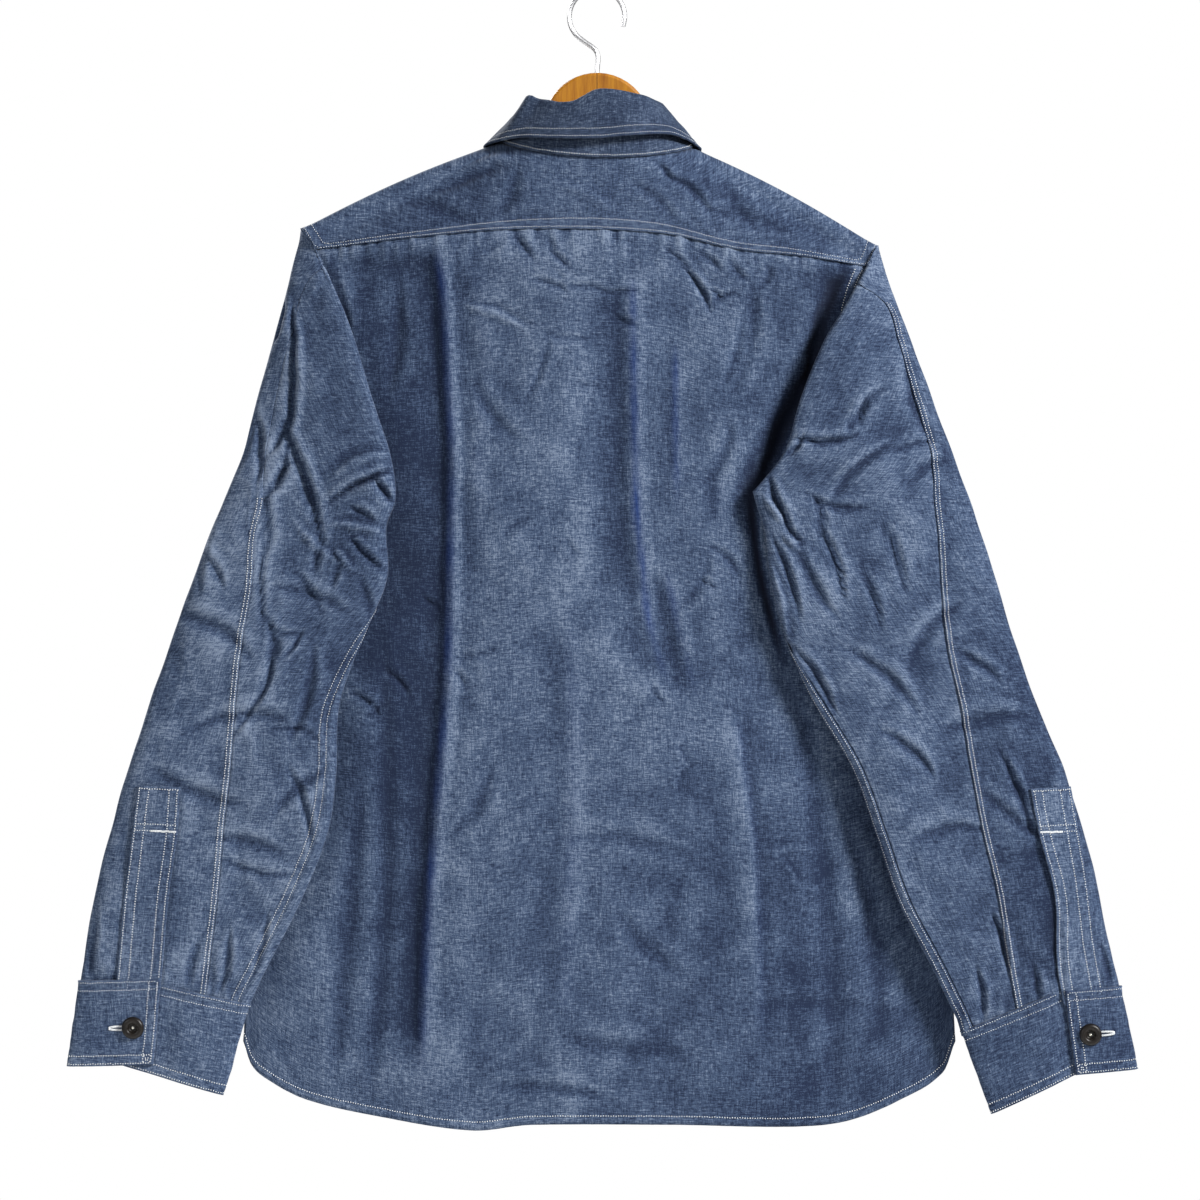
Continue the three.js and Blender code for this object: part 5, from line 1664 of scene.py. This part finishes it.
def smooth_profile(profile, steps):
    """The same profile with more points, on smooth curves."""
    spots = np.linspace(0, len(profile) - 1, steps)
    radius, height = (Curve(range(len(profile)), values)(spots) for values in zip(*profile))
    radius[0] = radius[-1] = AXIS
    return list(zip(np.maximum(radius, AXIS), height))


def make_button(name, seat, normal, node):
    """A button and the bright end of its shank, on a seat and facing along its normal."""
    aside = unit(np.cross(normal, (1, 0, 0)))
    turned = np.stack([aside, np.cross(normal, aside), normal])
    points, faces = spin(smooth_profile(BUTTON_PROFILE, 44), 40)
    piece = mesh_object(name, points @ turned + seat, faces, button_finish, "button")
    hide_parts(node)
    points, faces = spin(SHANK_PROFILE, 24)
    mesh_object(name + "_shank", points @ turned + seat, faces, shank_finish, "button")


def make_buttonhole(name, middle, along, normal, width):
    """A buttonhole's bead: close stitches across two long sides and round its ends."""
    length = BUTTONHOLE["length"]
    across = unit(np.cross(normal, along))
    turn = np.linspace(0, 2 * PI, int(2.2 * length / BUTTONHOLE["pitch"]), endpoint=False)
    straight = np.cos(turn) * length / 2
    out = np.sign(np.sin(turn)) * np.abs(np.sin(turn)) ** 0.7 * width / 2
    centre = middle + along * straight[:, None] + across * out[:, None] + normal * 0.15
    facing = across * np.sign(np.sin(turn) + 1e-6)[:, None]
    facing = unit(facing + along * (0.9 * np.cos(turn) ** 5)[:, None])
    up = np.broadcast_to(normal, facing.shape)
    sewn = Threads(name)
    beside = unit(np.cross(up, facing))
    sewn.add_capsules(centre, facing, beside, up, BUTTONHOLE["stitch"], BUTTONHOLE["width"])
    sewn.build()


def seat_on(sheet, along, across, columns_on=0):
    """A place on a sheet and its normal, by shares of its rows and of its columns."""
    rows, columns = sheet.points.shape[:2]
    column = np.array([across * (columns - 1) + columns_on])
    return [values[0] for values in sheet.at(np.array([along * (rows - 1)]), column)]


def cuff_button(side):
    across, along = CUFFS[side]["button"]
    _, start, end = cuff_ends(side, along)
    share = (np.arccos(2 * across - 1) - start) / (end - start)
    spot = (cuffs[side], (along + CUFF_UP) / (1 + CUFF_UP), share)
    seat, normal = seat_on(*spot)
    towards = unit(seat_on(*spot, columns_on=3)[0] - seat)
    seat = seat + normal * (LINED / 2)
    make_button("cuff_button_%s_fine" % side, seat + normal * 0.3, normal, "cuff_button_" + side)
    middle = seat + towards * 8.5 + normal * 0.1
    make_buttonhole("buttonhole_" + side, middle, towards, normal, BUTTONHOLE["cuff_width"])


for side in SIDES:
    cuff_button(side)

# The top button closes the stand, the others the placket.
FORWARD, UPWARD = np.array([0.0, 1.0, 0.0]), np.array([0.0, 0.0, 1.0])
PLACKET_BUTTONS = 6
in_front = np.array(0.5 - 0.5 / (1 + COLLAR["overlap"]))
stand_seat = stand_point(in_front, np.array(0.5)) + FORWARD * 1.5
make_button("front_button_fine_1", stand_seat, FORWARD, "front_button_1")
for i in range(1, PLACKET_BUTTONS + 1):
    seat, normal = seat_on(strip, mix(0.08, 0.86, (i - 1) / (PLACKET_BUTTONS - 1)), 0.5)
    name, node = "front_button_fine_%d" % (i + 1), "front_button_%d" % (i + 1)
    make_button(name, seat + normal * 0.95, normal, node)
    middle = seat + normal * 0.65
    make_buttonhole(
        "front_buttonhole_%d" % i, middle, UPWARD, normal, BUTTONHOLE["front_width"]
    )

sewn = Threads("front_stitches")
for edge in SIDES:
    sewn.sew(strip.line(edge, PLACKET_ROW), 61)
sewn.build()

# ---- Hanger ----
for node, finish in HANGER.items():
    for held in bpy.data.objects[node].material_slots:
        held.material = finish


# ---- Camera, light and floor, in metres ----
def put(name, data, location=(0, 0, 0), rotation=(0, 0, 0)):
    thing = bpy.data.objects.new(name, data)
    thing.location, thing.rotation_euler = location, rotation
    bpy.context.scene.collection.objects.link(thing)
    return thing


camera_data = bpy.data.cameras.new("camera")
camera_data.lens, camera_data.sensor_width = 96, 36
camera = put("camera", camera_data, (0.00225, -2.425, -0.461), (PI / 2, 0, 0))
bpy.context.scene.camera = camera

# White screens before and behind the shirt, and a dimmer room round it.
AROUND = 0.2
SCREEN = {"From Min": 0.945, "From Max": 0.964, "To Min": AROUND, "To Max": 1.0}
world = bpy.data.worlds.new("studio")
world.use_nodes = True
nodes, links = world.node_tree.nodes, world.node_tree.links
sky = nodes.new("ShaderNodeTexCoord")
facing = nodes.new("ShaderNodeSeparateXYZ")
nearness = nodes.new("ShaderNodeMath")
nearness.operation = "ABSOLUTE"
screen = nodes.new("ShaderNodeMapRange")
for key, value in SCREEN.items():
    screen.inputs[key].default_value = value
links.new(sky.outputs["Generated"], facing.inputs[0])
links.new(facing.outputs["Y"], nearness.inputs[0])
links.new(nearness.outputs[0], screen.inputs["Value"])
nodes["Background"].inputs["Color"].default_value = (1, 1, 1, 1)
links.new(screen.outputs[0], nodes["Background"].inputs["Strength"])
bpy.context.scene.world = world
bpy.context.scene.view_settings.view_transform = "Standard"

SHIRT_MIDDLE = (0, 0, -0.45)


def add_light(name, location, size, power):
    """A round lamp that faces the shirt's middle."""
    light = bpy.data.lights.new(name, "AREA")
    light.shape, light.size, light.energy = "DISK", size, power
    x, y, z = np.array(location) - np.array(SHIRT_MIDDLE)
    put(name, light, location, (np.arctan2(np.hypot(x, y), z), 0, np.arctan2(x, -y)))


add_light("key", (3.3, -2.25, 1.7), 1.2, 455)
add_light("fill", (-1.9, -1.7, 0.1), 1.2, 19)
add_light("rear", (-1.5, 1.7, 1.0), 1.0, 120)

FLOOR = dict(radius=1.6, corners=64, level=-1.3)
floor_mesh = bpy.data.meshes.new("floor")
angles = np.linspace(0, 2 * PI, FLOOR["corners"] + 1)[:-1]
rim = [(FLOOR["radius"] * np.cos(a), FLOOR["radius"] * np.sin(a), 0) for a in angles]
floor_mesh.from_pydata(rim, [], [range(FLOOR["corners"])])
floor_mesh.materials.append(
    mottled("floor", 30, 2.0, srgb(226, 226, 224), srgb(236, 236, 234), Roughness=0.8)
)
put("floor", floor_mesh, (0, 0, FLOOR["level"]))
